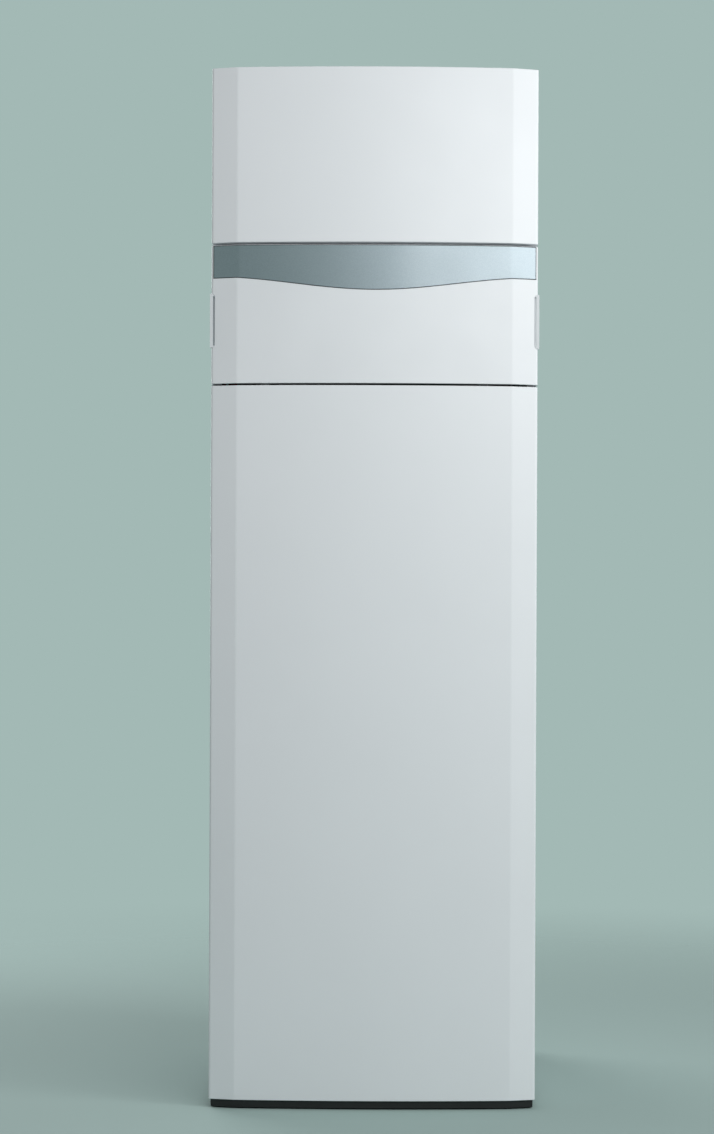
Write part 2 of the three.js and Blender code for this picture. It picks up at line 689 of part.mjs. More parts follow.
// Latch bar: a lip that stands proud of the side, with a finger cup behind it.
function gripSolid(side) {
  const bottom = flapBottom + grip.above;
  const top = bottom + grip.height;
  const outer = halfWidth + grip.proud;
  const frontY = cornerY - grip.forward;
  const lipBack = frontY + grip.lipThickness;
  const cupBack = panelBackY - grip.backGap;
  const lip = extruded("y", gripOutline(side, 0), [frontY, lipBack]);
  const cup = block([side * (outer - grip.cupDepth), side * outer], [frontY, cupBack], [bottom, top])
    .intersect(frontSolid(flap.wall + fit, panelBackY, flapBottom, flapTop));
  const cavity = block(
    [side * (outer - grip.cupDepth + grip.cupWall), side * (outer + cut)],
    [lipBack, cupBack - grip.cupWall],
    [bottom + grip.cupWall, top - grip.cupWall],
  );
  const slotInner = outer - grip.lipWidth - grip.slotWidth;
  const slot = block(
    [side * slotInner, side * (outer - grip.lipWidth)],
    [frontY - cut, lipBack + cut],
    [bottom + grip.endWidth, top - grip.endWidth],
  );
  return carve(join(lip, cup), cavity, slot);
}

// Controls behind the flap
const keyNames = ["key_left", "key_minus", "key_reset", "key_plus", "key_right"];

function keyX(index) {
  return (index - (keyNames.length - 1) / 2) * key.pitch;
}

function controlFascia() {
  const frontY = fasciaY;
  const backY = frontY + control.frameDepth;
  const through = [frontY - cut, frontY + control.plate + cut];
  const tray = carve(
    block([-controlHalf, controlHalf], [frontY, backY], [controlBottom, controlTop]),
    block(
      [-controlHalf + control.wall, controlHalf - control.wall],
      [frontY + control.plate, backY + cut],
      [controlBottom + control.wall, controlTop - control.wall],
    ),
  );
  const displayHalf = display.width / 2 + fit;
  const displayZ = controlBottom + display.above;
  const displayHole = block([-displayHalf, displayHalf], through, [
    displayZ - display.height / 2 - fit,
    displayZ + display.height / 2 + fit,
  ]);
  const keyHoles = keyNames.map((_, i) =>
    rod("y", key.radius + key.holeGap, through, [keyX(i), controlBottom + key.above], small));
  const gaugeHole = rod("y", gauge.barrelRadius + fit, through, [gaugeX, controlBottom + gauge.above], wide);
  const rockerZ = controlBottom + rocker.above;
  const rockerHalf = rocker.width / 2 + rocker.sideGap;
  const rockerHole = block(
    [rockerX - rockerHalf, rockerX + rockerHalf],
    through,
    [rockerZ - rocker.openingHalf, rockerZ + rocker.openingHalf],
  );
  return carve(tray, displayHole, gaugeHole, rockerHole, ...keyHoles);
}

function controlBox() {
  const backY = fasciaY + control.depth;
  return carve(
    block([-controlHalf, controlHalf], [boxFrontY, backY], [controlBottom, controlTop]),
    block(
      [-controlHalf + control.wall, controlHalf - control.wall],
      [boxFrontY - cut, backY - control.wall],
      [controlBottom + control.wall, controlTop - control.wall],
    ),
  );
}

function displayWindow() {
  const z = controlBottom + display.above;
  return block(
    [-display.width / 2, display.width / 2],
    [fasciaY, fasciaY + display.thickness],
    [z - display.height / 2, z + display.height / 2],
  );
}

// A key cap with a lip that keeps it behind the fascia.
function keySolid() {
  const lipFront = control.plate + fit;
  return turned("y", [
    [0, -key.proud],
    [key.radius - key.edge, -key.proud],
    [key.radius, -key.proud + key.edge],
    [key.radius, lipFront],
    [key.radius + key.lip, lipFront],
    [key.radius + key.lip, lipFront + key.lipThickness],
    [0, lipFront + key.lipThickness],
  ], [0, 0], small);
}

// Rocker drawn level about its pivot; it is then tilted to its off side.
function rockerSolid() {
  const { radius, faceForward, faceDip, faceHalf, tail, tailHalf, arcSteps } = rocker;
  const shoulder = Math.atan2(faceHalf, faceForward);
  const arc = (from, to) =>
    Array.from({ length: arcSteps + 1 }, (_, i) => {
      const angle = from + ((to - from) * i) / arcSteps;
      return [-radius * Math.cos(angle), radius * Math.sin(angle)];
    });
  const upper = arc(shoulder, Math.PI / 2);
  const lower = arc(-Math.PI / 2, -shoulder);
  const outline = [[-faceForward + faceDip, 0], ...upper, [tail, tailHalf], [tail, -tailHalf], ...lower];
  return extruded("x", outline, [-rocker.width / 2, rocker.width / 2]);
}

function gaugeBody() {
  const front = -gauge.bezelHeight - fit;
  const lensBack = front + gauge.lensThickness + fit;
  const dial = lensBack + gauge.dialDepth;
  const { bezelRadius, barrelRadius, barrelDepth, lensRadius, dialRadius, pinRadius } = gauge;
  return turned("y", [
    [0, lensBack + fit],
    [pinRadius, lensBack + fit],
    [pinRadius, dial],
    [dialRadius, dial],
    [dialRadius, lensBack],
    [lensRadius + fit, lensBack],
    [lensRadius + fit, front],
    [bezelRadius, front],
    [bezelRadius, -fit],
    [barrelRadius, -fit],
    [barrelRadius, barrelDepth],
    [0, barrelDepth],
  ], [0, 0], wide);
}

function gaugeLens() {
  const front = -gauge.bezelHeight - fit;
  return rod("y", gauge.lensRadius, [front, front + gauge.lensThickness], [0, 0], wide);
}

// Needle at zero, pointing down to the left.
function gaugeNeedle() {
  const back = -gauge.bezelHeight + gauge.lensThickness + gauge.dialDepth - gauge.needleGap;
  const span = [back - gauge.needleThickness, back];
  const start = (5 * Math.PI) / 4;
  const along = [Math.cos(start), Math.sin(start)];
  const across = [-along[1], along[0]];
  const at = (run, side) => [0, 1].map((i) => run * along[i] + side * across[i]);
  const half = gauge.needleWidth / 2;
  const tail = -gauge.tailLength - gauge.hubRadius;
  const tip = gauge.needleLength;
  const blade = extruded("y", [at(tail, half), at(tail, -half), at(tip, -half / 2), at(tip, half / 2)], span);
  const hub = rod("y", gauge.hubRadius, span, [0, 0], small);
  const bore = rod("y", gauge.pinRadius + fit, [span[0] - cut, span[1] + cut], [0, 0], small);
  return carve(join(blade, hub), bore);
}

// Boiler bay
function heatExchanger() {
  const { radius, wall, nozzleRadius, nozzleWall } = drum;
  const shell = turned("y", [
    [0, drumBackY - wall],
    [radius - wall, drumBackY - wall],
    [radius - wall, drumFrontY],
    [radius, drumFrontY],
    [radius, drumBackY],
    [0, drumBackY],
  ], [0, drumZ], wide);
  const flueRadius = collar.innerRadius - collar.innerWall - fit;
  const nozzleTop = drumZ - drum.nozzleDrop;
  const nozzles = [
    { place: [pump.x, riserY], outer: nozzleRadius, span: [diverterZ + diverter.halfHeight + fit, nozzleTop] },
    { place: [-pump.x, riserY], outer: nozzleRadius, span: [pumpZ + pump.portReach + fit, nozzleTop] },
    { place: [0, trapY], outer: drum.drainRadius, span: [trapTop - trap.insertion, nozzleTop] },
    { place: [0, flueY], outer: flueRadius, span: [drumZ, coverBottom - drum.flueGap] },
  ];
  const hollow = rod("y", radius - wall, [drumFrontY - cut, drumBackY - wall], [0, drumZ], wide);
  const tubes = nozzles.map(({ place, outer, span }) => carve(rod("z", outer, span, place), hollow));
  const bores = nozzles.map(({ place, outer, span }) =>
    rod("z", outer - nozzleWall, [span[0] - cut, span[1] + cut], place));
  const boss = carve(rod("z", drum.ventRadius, [drumZ, ventSeatZ], [drum.ventX, riserY]), hollow);
  return carve(join(shell, ...tubes, boss), ...bores);
}

function burnerDoor() {
  const disc = turned("y", [
    [door.opening, doorFrontY],
    [door.radius, doorFrontY],
    [door.radius, doorFrontY + door.thickness],
    [door.opening, doorFrontY + door.thickness],
  ], [0, drumZ], wide);
  const start = doorFrontY + door.thickness / 2;
  const end = doorFrontY + door.thickness + door.burnerLength;
  const burner = turned("y", [
    [door.burnerRadius, start],
    [door.opening + door.burnerWall, start],
    [door.opening + door.burnerWall, end],
    [0, end],
    [0, end - door.burnerWall],
    [door.burnerRadius, end - door.burnerWall],
  ], [0, drumZ]);
  const ports = [];
  for (let i = 0; i < door.burnerHoles; i += 1) {
    const y = doorFrontY + door.thickness + ((i + 0.5) * (end - start)) / (door.burnerHoles + 1);
    const reach = door.opening + door.burnerWall + cut;
    ports.push(rod("x", door.portRadius, [-reach, reach], [y, drumZ], hexagon));
  }
  const through = [doorFrontY - cut, doorFrontY + door.thickness + cut];
  const electrodeHole = rod("y", electrode.radius + fit, through, electrodePlace, small);
  return carve(join(disc, burner), electrodeHole, ...ports);
}

function ignitionElectrode() {
  const front = doorFrontY - fit - electrode.flangeThickness;
  const tip = front - electrode.neck;
  return turned("y", [
    [0, tip],
    [electrode.radius, tip],
    [electrode.radius, front],
    [electrode.flangeRadius, front],
    [electrode.flangeRadius, doorFrontY - fit],
    [electrode.radius, doorFrontY - fit],
    [electrode.radius, tip + electrode.length],
    [0, tip + electrode.length],
  ], electrodePlace, small);
}

// Fan: a closed drum with the motor can in front, an inlet on its side and an outlet into the door.
function fanHousing() {
  const { radius, depth, wall, motorRadius, inletRadius, inletLength, shaftRadius, shaftInMotor } = fan;
  const back = fanFrontY + depth;
  const shell = join(
    rod("y", radius, [fanFrontY, back], [0, drumZ], wide),
    rod("y", motorRadius, [motorFrontY, fanFrontY + wall], [0, drumZ]),
    rod("x", inletRadius, [-radius - inletLength, 0], [fanFrontY + depth / 2, drumZ]),
  );
  return carve(
    shell,
    rod("y", radius - wall, [fanFrontY + wall, back - wall], [0, drumZ], wide),
    rod("y", door.opening, [back - wall - cut, back + cut], [0, drumZ]),
    rod("x", inletRadius - wall, [-radius - inletLength - cut, 0], [fanFrontY + depth / 2, drumZ]),
    rod("y", shaftRadius + fit, [fanFrontY - shaftInMotor - fit, fanFrontY + wall + cut], [0, drumZ], small),
  );
}

function fanImpeller() {
  const { shaftRadius, shaftInMotor, impellerRadius, impellerDepth } = fan;
  const { discThickness, blades, bladeThickness, hubRadius } = fan;
  const front = fanFrontY + fan.wall + fan.impellerGap;
  const disc = rod("y", impellerRadius, [front, front + discThickness], [0, 0], wide);
  const hub = rod("y", hubRadius, [front, front + impellerDepth], [0, 0], small);
  const shaft = rod("y", shaftRadius, [fanFrontY - shaftInMotor, front + discThickness], [0, 0], small);
  const blade = block(
    [hubRadius / 2, impellerRadius - discThickness],
    [front + discThickness / 2, front + impellerDepth],
    [-bladeThickness / 2, bladeThickness / 2],
  );
  const ring = Array.from({ length: blades }, (_, i) => blade.rotate([0, (360 * i) / blades, 0]));
  return join(disc, hub, shaft, ...ring);
}

function gasValve() {
  const midY = fanFrontY + fan.depth / 2;
  const body = block(
    [valveLeft, valveRight],
    [fanFrontY + valve.backGap, fanFrontY + fan.depth - valve.backGap],
    [drumZ - valve.height / 2, drumZ + valve.height / 2],
  );
  const capTop = drumZ + valve.height / 2 + valve.capHeight;
  const cap = rod("z", valve.capRadius, [drumZ, capTop], [(valveLeft + valveRight) / 2, midY]);
  const boreSpan = [valveRight - valve.boreDepth, valveRight + cut];
  const bore = rod("x", fan.inletRadius - fan.wall, boreSpan, [midY, drumZ]);
  return carve(join(body, cap), bore);
}

// Coaxial flue collar: inner flue tube and outer air tube, held together by three webs.
function flueCollar() {
  const bottom = caseTop + fit;
  const top = bottom + collar.height;
  const { outerRadius, innerRadius, outerWall, innerWall, flangeRadius, flangeThickness } = collar;
  const outer = turned("z", [
    [outerRadius - outerWall, bottom],
    [flangeRadius, bottom],
    [flangeRadius, bottom + flangeThickness],
    [outerRadius, bottom + flangeThickness],
    [outerRadius, top],
    [outerRadius - outerWall, top],
  ], [0, 0], wide);
  const inner = turned("z", [
    [innerRadius - innerWall, bottom - collar.innerDrop],
    [innerRadius, bottom - collar.innerDrop],
    [innerRadius, top],
    [innerRadius - innerWall, top],
  ], [0, 0], wide);
  const webBottom = bottom + collar.webDrop - collar.webHeight / 2;
  const web = block(
    [innerRadius - innerWall / 2, outerRadius - outerWall / 2],
    [-collar.webThickness / 2, collar.webThickness / 2],
    [webBottom, webBottom + collar.webHeight],
  );
  const webs = [0, 1, 2].map((i) => web.rotate([0, 0, 90 + 120 * i]));
  return join(outer, inner, ...webs);
}

function expansionVessel() {
  const outerX = -(innerHalf - vessel.sideGap);
  const innerX = outerX + vessel.thickness;
  const place = [riserY, shelfTop + fit + vessel.radius];
  const rim = vessel.edge;
  const shape = (inset) => [
    [0, outerX + inset],
    [vessel.radius - rim, outerX + inset],
    [vessel.radius - inset, outerX + rim + inset],
    [vessel.radius - inset, innerX - rim - inset],
    [vessel.radius - rim, innerX - inset],
    [0, innerX - inset],
  ];
  const pumpSide = -pump.x - pump.voluteRadius - fit;
  const nozzleAt = [riserY, pumpZ];
  const nozzle = rod("x", vessel.nozzleRadius, [innerX - vessel.wall, pumpSide], nozzleAt, small);
  const bore = rod("x", vessel.nozzleBore, [innerX - vessel.thickness / 2, pumpSide + cut], nozzleAt, small);
  const shell = turned("x", shape(0), place, wide);
  const hollow = turned("x", shape(vessel.wall), place, wide);
  return carve(join(shell, nozzle), hollow, bore);
}

// Pump: a volute between two upright ports, with the motor can in front.
function pumpSolid() {
  const { voluteRadius, voluteHalf, portRadius, portBore, portReach, motorRadius, wall, running } = pump;
  const motorFront = -voluteHalf - pump.motorLength;
  const canSpan = [-voluteHalf - pump.rotorLength - wall, -voluteHalf + wall + cut];
  const body = join(
    rod("y", voluteRadius, [-voluteHalf, voluteHalf], [0, 0], wide),
    rod("z", portRadius, [-portReach, portReach], [0, 0]),
    rod("y", motorRadius, [motorFront, -voluteHalf + wall], [0, 0]),
  );
  return carve(
    body,
    rod("y", pump.impellerRadius + running, [-voluteHalf + wall, voluteHalf - wall], [0, 0]),
    rod("y", pump.rotorRadius + running, canSpan, [0, 0]),
    rod("y", pump.shaftRadius + fit, [motorFront + wall, -voluteHalf], [0, 0], small),
    rod("z", portBore, [-portReach - cut, portReach + cut], [0, 0]),
  );
}

function pumpRotor() {
  const { voluteHalf, wall, impellerThickness } = pump;
  const rotorFront = -voluteHalf - pump.rotorLength;
  const shaftSpan = [rotorFront - wall - pump.bearingDepth, voluteHalf - wall - impellerThickness];
  return join(
    rod("y", pump.rotorRadius, [rotorFront, -voluteHalf], [0, 0]),
    rod("y", pump.shaftRadius, shaftSpan, [0, 0], small),
    rod("y", pump.impellerRadius, [-impellerThickness / 2, impellerThickness / 2], [0, 0]),
  );
}

function diverterBody() {
  const { halfHeight, halfDepth, boreRadius, wall, portBore, headHalf, headDepth, rodRadius } = diverter;
  const body = join(
    block([-diverter.halfWidth, diverter.halfWidth], [-halfDepth, halfDepth], [-halfHeight, halfHeight]),
    block([-headHalf, headHalf], [-halfDepth - headDepth, -halfDepth + fit], [-headHalf, headHalf]),
    rod("y", diverter.portRadius, [0, halfDepth + diverter.portReach], [0, 0]),
  );
  return carve(
    body,
    rod("y", boreRadius, [-halfDepth + wall, halfDepth - wall], [0, 0]),
    rod("y", portBore, [0, halfDepth + diverter.portReach + cut], [0, 0]),
    rod("z", portBore, [-halfHeight - cut, halfHeight + cut], [0, 0]),
    rod("y", rodRadius + fit, [-halfDepth - headDepth + wall, 0], [0, 0], small),
  );
}

function diverterPlunger() {
  const { halfDepth, wall, discRadius, discThickness, rodRadius, rodLength } = diverter;
  const discFront = -halfDepth + wall + fit;
  return join(
    rod("y", discRadius, [discFront, discFront + discThickness], [0, 0]),
    rod("y", rodRadius, [discFront + discThickness - rodLength, discFront + discThickness], [0, 0], small),
  );
}

function safetyValve() {
  const { bodyBelow, bodyAbove } = relief;
  return join(
    rod("x", relief.inletRadius, [0, reliefOffset], [0, 0], small),
    rod("z", relief.bodyRadius, [-bodyBelow, bodyAbove], [reliefOffset, 0]),
    rod("z", relief.outletRadius, [-bodyBelow - relief.outletLength, 0], [reliefOffset, 0], small),
    rod("z", relief.pinRadius, [0, bodyAbove + relief.pinHeight], [reliefOffset, 0], small),
  );
}

function safetyValveKnob() {
  const { pinRadius, pinHeight, knobRadius, knobHeight, knobFlutes, fluteRadius } = relief;
  const cap = rod("z", knobRadius, [0, knobHeight], [0, 0]);
  const socket = rod("z", pinRadius + fit, [-cut, pinHeight], [0, 0], small);
  const flutes = Array.from({ length: knobFlutes }, (_, i) => {
    const angle = (2 * Math.PI * i) / knobFlutes;
    const place = [knobRadius * Math.cos(angle), knobRadius * Math.sin(angle)];
    return rod("z", fluteRadius, [-cut, knobHeight + cut], place, small);
  });
  return carve(cap, socket, ...flutes);
}

function airVent() {
  const { radius, height, stemRadius, stemHeight } = vent;
  return turned("z", [
    [0, fit],
    [stemRadius, fit],
    [stemRadius, stemHeight],
    [radius, stemHeight],
    [radius, stemHeight + height],
    [0, stemHeight + height],
  ], [0, 0], small);
}

function condensateTrap() {
  const { radius, wall, spigotRadius, spigotLength, spigotAbove, height } = trap;
  const neck = drum.drainRadius + fit;
  const bottle = turned("z", [
    [0, 0],
    [radius, 0],
    [radius, height],
    [neck, height],
    [neck, height - wall],
    [radius - wall, height - wall],
    [radius - wall, wall],
    [0, wall],
  ], [0, 0]);
  const spigot = rod("y", spigotRadius, [radius - wall, radius + spigotLength], [0, spigotAbove], small);
  const bore = rod("y", spigotRadius - wall, [0, radius + spigotLength + cut], [0, spigotAbove], small);
  return carve(join(bottle, spigot), bore);
}

// Hot-water cylinder. Half a dished vessel's outline, from the bottom on the axis to the top on the axis.
function dished(radius, bottom, top, dome) {
  const lower = [];
  for (let i = 0; i <= tank.domeSteps; i += 1) {
    const angle = (Math.PI / 2) * (i / tank.domeSteps);
    lower.push([radius * Math.sin(angle), dome * (1 - Math.cos(angle))]);
  }
  lower[0][0] = 0;
  const upper = lower.map(([r, rise]) => [r, top - rise]).reverse();
  return [...lower.map(([r, rise]) => [r, bottom + rise]), ...upper];
}

function cylinderTank() {
  const { wall, dome } = tank;
  const outside = dished(tankRadius, tankBottom, tankTop, dome);
  const inside = dished(tankRadius - wall, tankBottom + wall, tankTop - wall, dome);
  const shell = turned("z", outside, [0, tankY], wide);
  const hollow = turned("z", inside, [0, tankY], wide);
  const wallY = tankY - tankRadius;
  const drainTube = rod("y", drain.tubeRadius, [drainMouthY, wallY + tank.dome], [0, drainZ]);
  const drainBore = rod("y", drain.bore, [drainMouthY - cut, tankY], [0, drainZ]);
  const holes = cylinderTaps.map(({ place, radius }) =>
    hole("z", radius + tank.holeGap, [tankTop - dome - cut, tankTop + cut], place, small));
  return carve(join(shell, drainTube), hollow, drainBore, ...holes);
}

function cylinderInsulation() {
  const jacket = rod("z", foamRadius, [foamBottom, foamTop], [0, tankY], wide);
  const gap = tank.foamGap;
  const room = dished(tankRadius + gap, tankBottom - fit, tankTop + gap, tank.dome);
  const hollow = turned("z", room, [0, tankY], wide);
  const drainHole = rod("y", drain.tubeRadius + tank.holeGap, [tankY - foamRadius - cut, tankY], [0, drainZ]);
  const holes = cylinderTaps.map(({ place, radius }) =>
    hole("z", radius + tank.holeGap, [tankTop - tank.dome - cut, foamTop + cut], place, small));
  return carve(jacket, hollow, drainHole, ...holes);
}

// Heating coil: down the first riser, out to the wall, up in turns, and up the second riser.
function cylinderCoil() {
  const radius = tankRadius - coil.inset;
  const bottom = tankBottom + coil.bottomGap;
  const top = bottom + coil.pitch * coil.turns;
  const angleOf = ([x, y]) => Math.atan2(y - tankY, x);
  const start = angleOf([pump.x, riserY]);
  const sweep = 2 * Math.PI * coil.turns + angleOf([-pump.x, tapY]) - start;
  const onWall = (angle, z) => [radius * Math.cos(angle), tankY + radius * Math.sin(angle), z];
  const into = stationsAlong([
    [pump.x, riserY, diverterZ - diverter.halfHeight - fit],
    [pump.x, riserY, bottom],
    onWall(start, bottom),
  ], coil.bend).slice(0, -1);
  const steps = coil.turns * coil.stepsPerTurn;
  const winding = [];
  for (let i = 1; i < steps; i += 1) {
    const angle = start + (sweep * i) / steps;
    const rise = (coil.pitch * coil.turns) / sweep;
    const heading = new THREE.Vector3(-radius * Math.sin(angle), radius * Math.cos(angle), rise).normalize();
    winding.push({ point: new THREE.Vector3(...onWall(angle, bottom + rise * (angle - start))), heading });
  }
  const out = stationsAlong([
    onWall(start + sweep, top),
    [-pump.x, tapY, top],
    [-pump.x, tapY, returnZ - pipe.radius - fit],
  ], coil.bend).slice(1);
  return tube([...into, ...winding, ...out], coil.radius, 0, coil.sides);
}

function anodeSolid() {
  const seat = foamTop + fit;
  const { radius, length, headRadius, headHeight } = anode;
  return turned("z", [
    [0, seat - length],
    [radius, seat - length],
    [radius, seat],
    [headRadius, seat],
    [headRadius, seat + headHeight],
    [0, seat + headHeight],
  ], anodePlace, hexagon);
}

function drainCock() {
  const { bodyRadius, bodyLength, bore, spoutRadius, spoutBore, spoutLength, stemRadius, stemHeight } = drain;
  const middle = -bodyLength / 2;
  const body = join(
    rod("y", bodyRadius, [-bodyLength, 0], [0, 0], small),
    rod("z", spoutRadius, [-bodyRadius - spoutLength, 0], [0, middle], small),
    rod("z", stemRadius, [0, bodyRadius + stemHeight], [0, middle], small),
  );
  return carve(
    body,
    rod("y", bore, [middle, cut], [0, 0], small),
    rod("z", spoutBore, [-bodyRadius - spoutLength - cut, 0], [0, middle], small),
  );
}

function drainLever() {
  const { stemRadius, leverWidth, leverLength, leverThickness } = drain;
  const half = leverWidth / 2;
  const bar = block([-half, leverLength], [-half, half], [fit, fit + leverThickness]);
  return carve(bar, rod("z", stemRadius + fit, [-cut, leverThickness + cut], [0, 0], small));
}

// Pipes: every stub rises through the top cover and ends in a flat-faced union.
function piped(corners, radius, wall, bend) {
  const top = caseTop + pipe.stub;
  const [x, y] = corners[0];
  const whole = stationsAlong([[x, y, top], ...corners], bend);
  const union = rod("z", pipe.unionRadius, [top - pipe.unionHeight, top], [x, y], hexagon);
  const bore = rod("z", radius - wall / 2, [top - pipe.unionHeight - cut, top + cut], [x, y], pipe.sides);
  return join(tube(whole, radius, wall), carve(union, bore));
}

function pipeSolids() {
  const [gasX] = stubPlaces.gas;
  const [coldX] = stubPlaces.cold;
  const gasY = fanFrontY + fan.depth / 2;
  const pumpInlet = pumpZ - pump.portReach - fit;
  const flowEnd = riserY + diverter.halfDepth + diverter.portReach + fit;
  return {
    gas_pipe: piped(
      [[gasX, pipeRowY, drumZ], [gasX, gasY, drumZ], [valveLeft - fit, gasY, drumZ]],
      gas.radius, gas.wall, gas.bend,
    ),
    heating_flow_pipe: piped(
      [[pump.x, pipeRowY, diverterZ], [pump.x, flowEnd, diverterZ]],
      pipe.radius, pipe.wall, pipe.bend,
    ),
    heating_return_pipe: piped(
      [[-pump.x, pipeRowY, returnZ], [-pump.x, riserY, returnZ], [-pump.x, riserY, pumpInlet]],
      pipe.radius, pipe.wall, pipe.bend,
    ),
    cold_water_pipe: piped(
      [[coldX, pipeRowY, elbowZ], [coldX, coldY, elbowZ], [coldX, coldY, tankTop - supply.dip]],
      pipe.radius, pipe.wall, pipe.bend,
    ),
    hot_water_pipe: piped(
      [[0, pipeRowY, elbowZ], [0, hotY, elbowZ], [0, hotY, tankTop - supply.dip]],
      pipe.radius, pipe.wall, pipe.bend,
    ),
  };
}

function addCasing() {
  const casing = addGroup(boiler);
  addPart(casing, "base_frame", baseFrame(), materials.blackPaint);
  for (const [name, [x, y]] of Object.entries(footPlaces())) {
    addPart(casing, name, footSolid(), materials.rubber, [x, y, 0]);
  }
  addPart(casing, "left_side_panel", sidePanel(-1), materials.whitePaint);
  addPart(casing, "right_side_panel", sidePanel(1), materials.whitePaint);
  addPart(casing, "rear_panel", rearPanel(), materials.zincSheet);
  addPart(casing, "top_cover", topCover(), materials.whitePaint);
  addPart(casing, "module_shelf", moduleShelf(), materials.zincSheet);
  addPart(casing, "upper_front_panel", foldedFront(upperPanelBottom, caseTop), materials.whitePaint);
  addPart(casing, "lower_front_panel", lowerFrontPanel(), materials.whitePaint);
  for (const [name, side] of [["panel_screw_left", -1], ["panel_screw_right", 1]]) {
    addPart(casing, name, panelScrewSolid(), materials.zincSheet, [...screwPlace(side), lowerPanelTop]);
  }
}

function addFlap() {
  const group = addGroup(boiler);
  addPart(group, "flap_shell", flapShell(), materials.whitePaint);
  addPart(group, "flap_band", flapBand(), materials.silverTrim);
  for (const [name, side] of [["left", -1], ["right", 1]]) {
    addPart(group, `grip_${name}`, gripSolid(side), materials.greyPlastic);
    addPart(group, `hinge_arm_${name}`, hingeArm(side), materials.zincSheet);
  }
  addPart(group, "flap_hinge_rod", hingeRod(), materials.stainless);
}

function addControls() {
  const group = addGroup(boiler);
  addPart(group, "control_box", controlBox(), materials.darkPlastic);
  addPart(group, "control_fascia", controlFascia(), materials.darkPlastic);
  addPart(group, "display_window", displayWindow(), materials.glass);
  keyNames.forEach((name, i) => {
    addPart(group, name, keySolid(), materials.greyPlastic, [keyX(i), fasciaY, controlBottom + key.above]);
  });
  const pivot = [rockerX, fasciaY + rocker.pivotDepth, controlBottom + rocker.above];
  const powerSwitch = addPart(group, "power_switch", rockerSolid(), materials.greyPlastic, pivot);
  powerSwitch.rotation.x = THREE.MathUtils.degToRad(-rocker.tilt);
  const gaugeGroup = addGroup(group, [gaugeX, fasciaY, controlBottom + gauge.above]);
  addPart(gaugeGroup, "gauge_body", gaugeBody(), materials.greyPlastic);
  addPart(gaugeGroup, "gauge_needle", gaugeNeedle(), materials.redPlastic);
  addPart(gaugeGroup, "gauge_lens", gaugeLens(), materials.glass);
}

function addBoilerBay() {
  const group = addGroup(boiler);
  addPart(group, "heat_exchanger", heatExchanger(), materials.stainless);
  addPart(group, "burner_door", burnerDoor(), materials.castAluminium);
  addPart(group, "ignition_electrode", ignitionElectrode(), materials.ceramic);
  addPart(group, "fan_housing", fanHousing(), materials.castAluminium);
  addPart(group, "fan_impeller", fanImpeller(), materials.castAluminium, [0, 0, drumZ]);
  addPart(group, "gas_valve", gasValve(), materials.castAluminium);
  addPart(group, "flue_collar", flueCollar(), materials.whitePaint, [0, flueY, 0]);
  addPart(group, "expansion_vessel", expansionVessel(), materials.redEnamel);
  addPart(group, "heating_pump", pumpSolid(), materials.castIron, [-pump.x, riserY, pumpZ]);
  addPart(group, "pump_rotor", pumpRotor(), materials.stainless, [-pump.x, riserY, pumpZ]);
  addPart(group, "diverter_valve", diverterBody(), materials.brass, [pump.x, riserY, diverterZ]);
  addPart(group, "diverter_plunger", diverterPlunger(), materials.stainless, [pump.x, riserY, diverterZ]);
  const reliefX = pump.x + diverter.halfWidth + fit;
  addPart(group, "safety_valve", safetyValve(), materials.brass, [reliefX, riserY, diverterZ]);
  const knobPlace = [reliefX + reliefOffset, riserY, diverterZ + relief.bodyAbove + fit];
  addPart(group, "safety_valve_knob", safetyValveKnob(), materials.redPlastic, knobPlace);
  addPart(group, "air_vent", airVent(), materials.brass, [drum.ventX, riserY, ventSeatZ]);
  addPart(group, "condensate_trap", condensateTrap(), materials.greyPlastic, [0, trapY, shelfTop + fit]);
}

function addCylinder() {
  const group = addGroup(boiler);
  addPart(group, "cylinder_tank", cylinderTank(), materials.stainless);
  addPart(group, "cylinder_insulation", cylinderInsulation(), materials.foam);
  addPart(group, "cylinder_coil", cylinderCoil(), materials.stainless);
  addPart(group, "anode", anodeSolid(), materials.zincSheet);
  addPart(group, "drain_cock", drainCock(), materials.brass, [0, drainMouthY - fit, drainZ]);
  const stem = [0, drainMouthY - fit - drain.bodyLength / 2, drainZ + drain.bodyRadius];
  addPart(group, "drain_lever", drainLever(), materials.redPlastic, stem);
}

function addPipes() {
  const group = addGroup(boiler);
  for (const [name, solid] of Object.entries(pipeSolids())) {
    addPart(group, name, solid, materials.copper);
  }
}

addCasing();
addFlap();
addControls();
addBoilerBay();
addCylinder();
addPipes();

export default boiler;
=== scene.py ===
"""A floor-standing gas condensing boiler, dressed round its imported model."""

import json
import math

import bmesh
import bpy
from bpy.props import FloatProperty, FloatVectorProperty, IntProperty, PointerProperty
from mathutils import Matrix, Vector


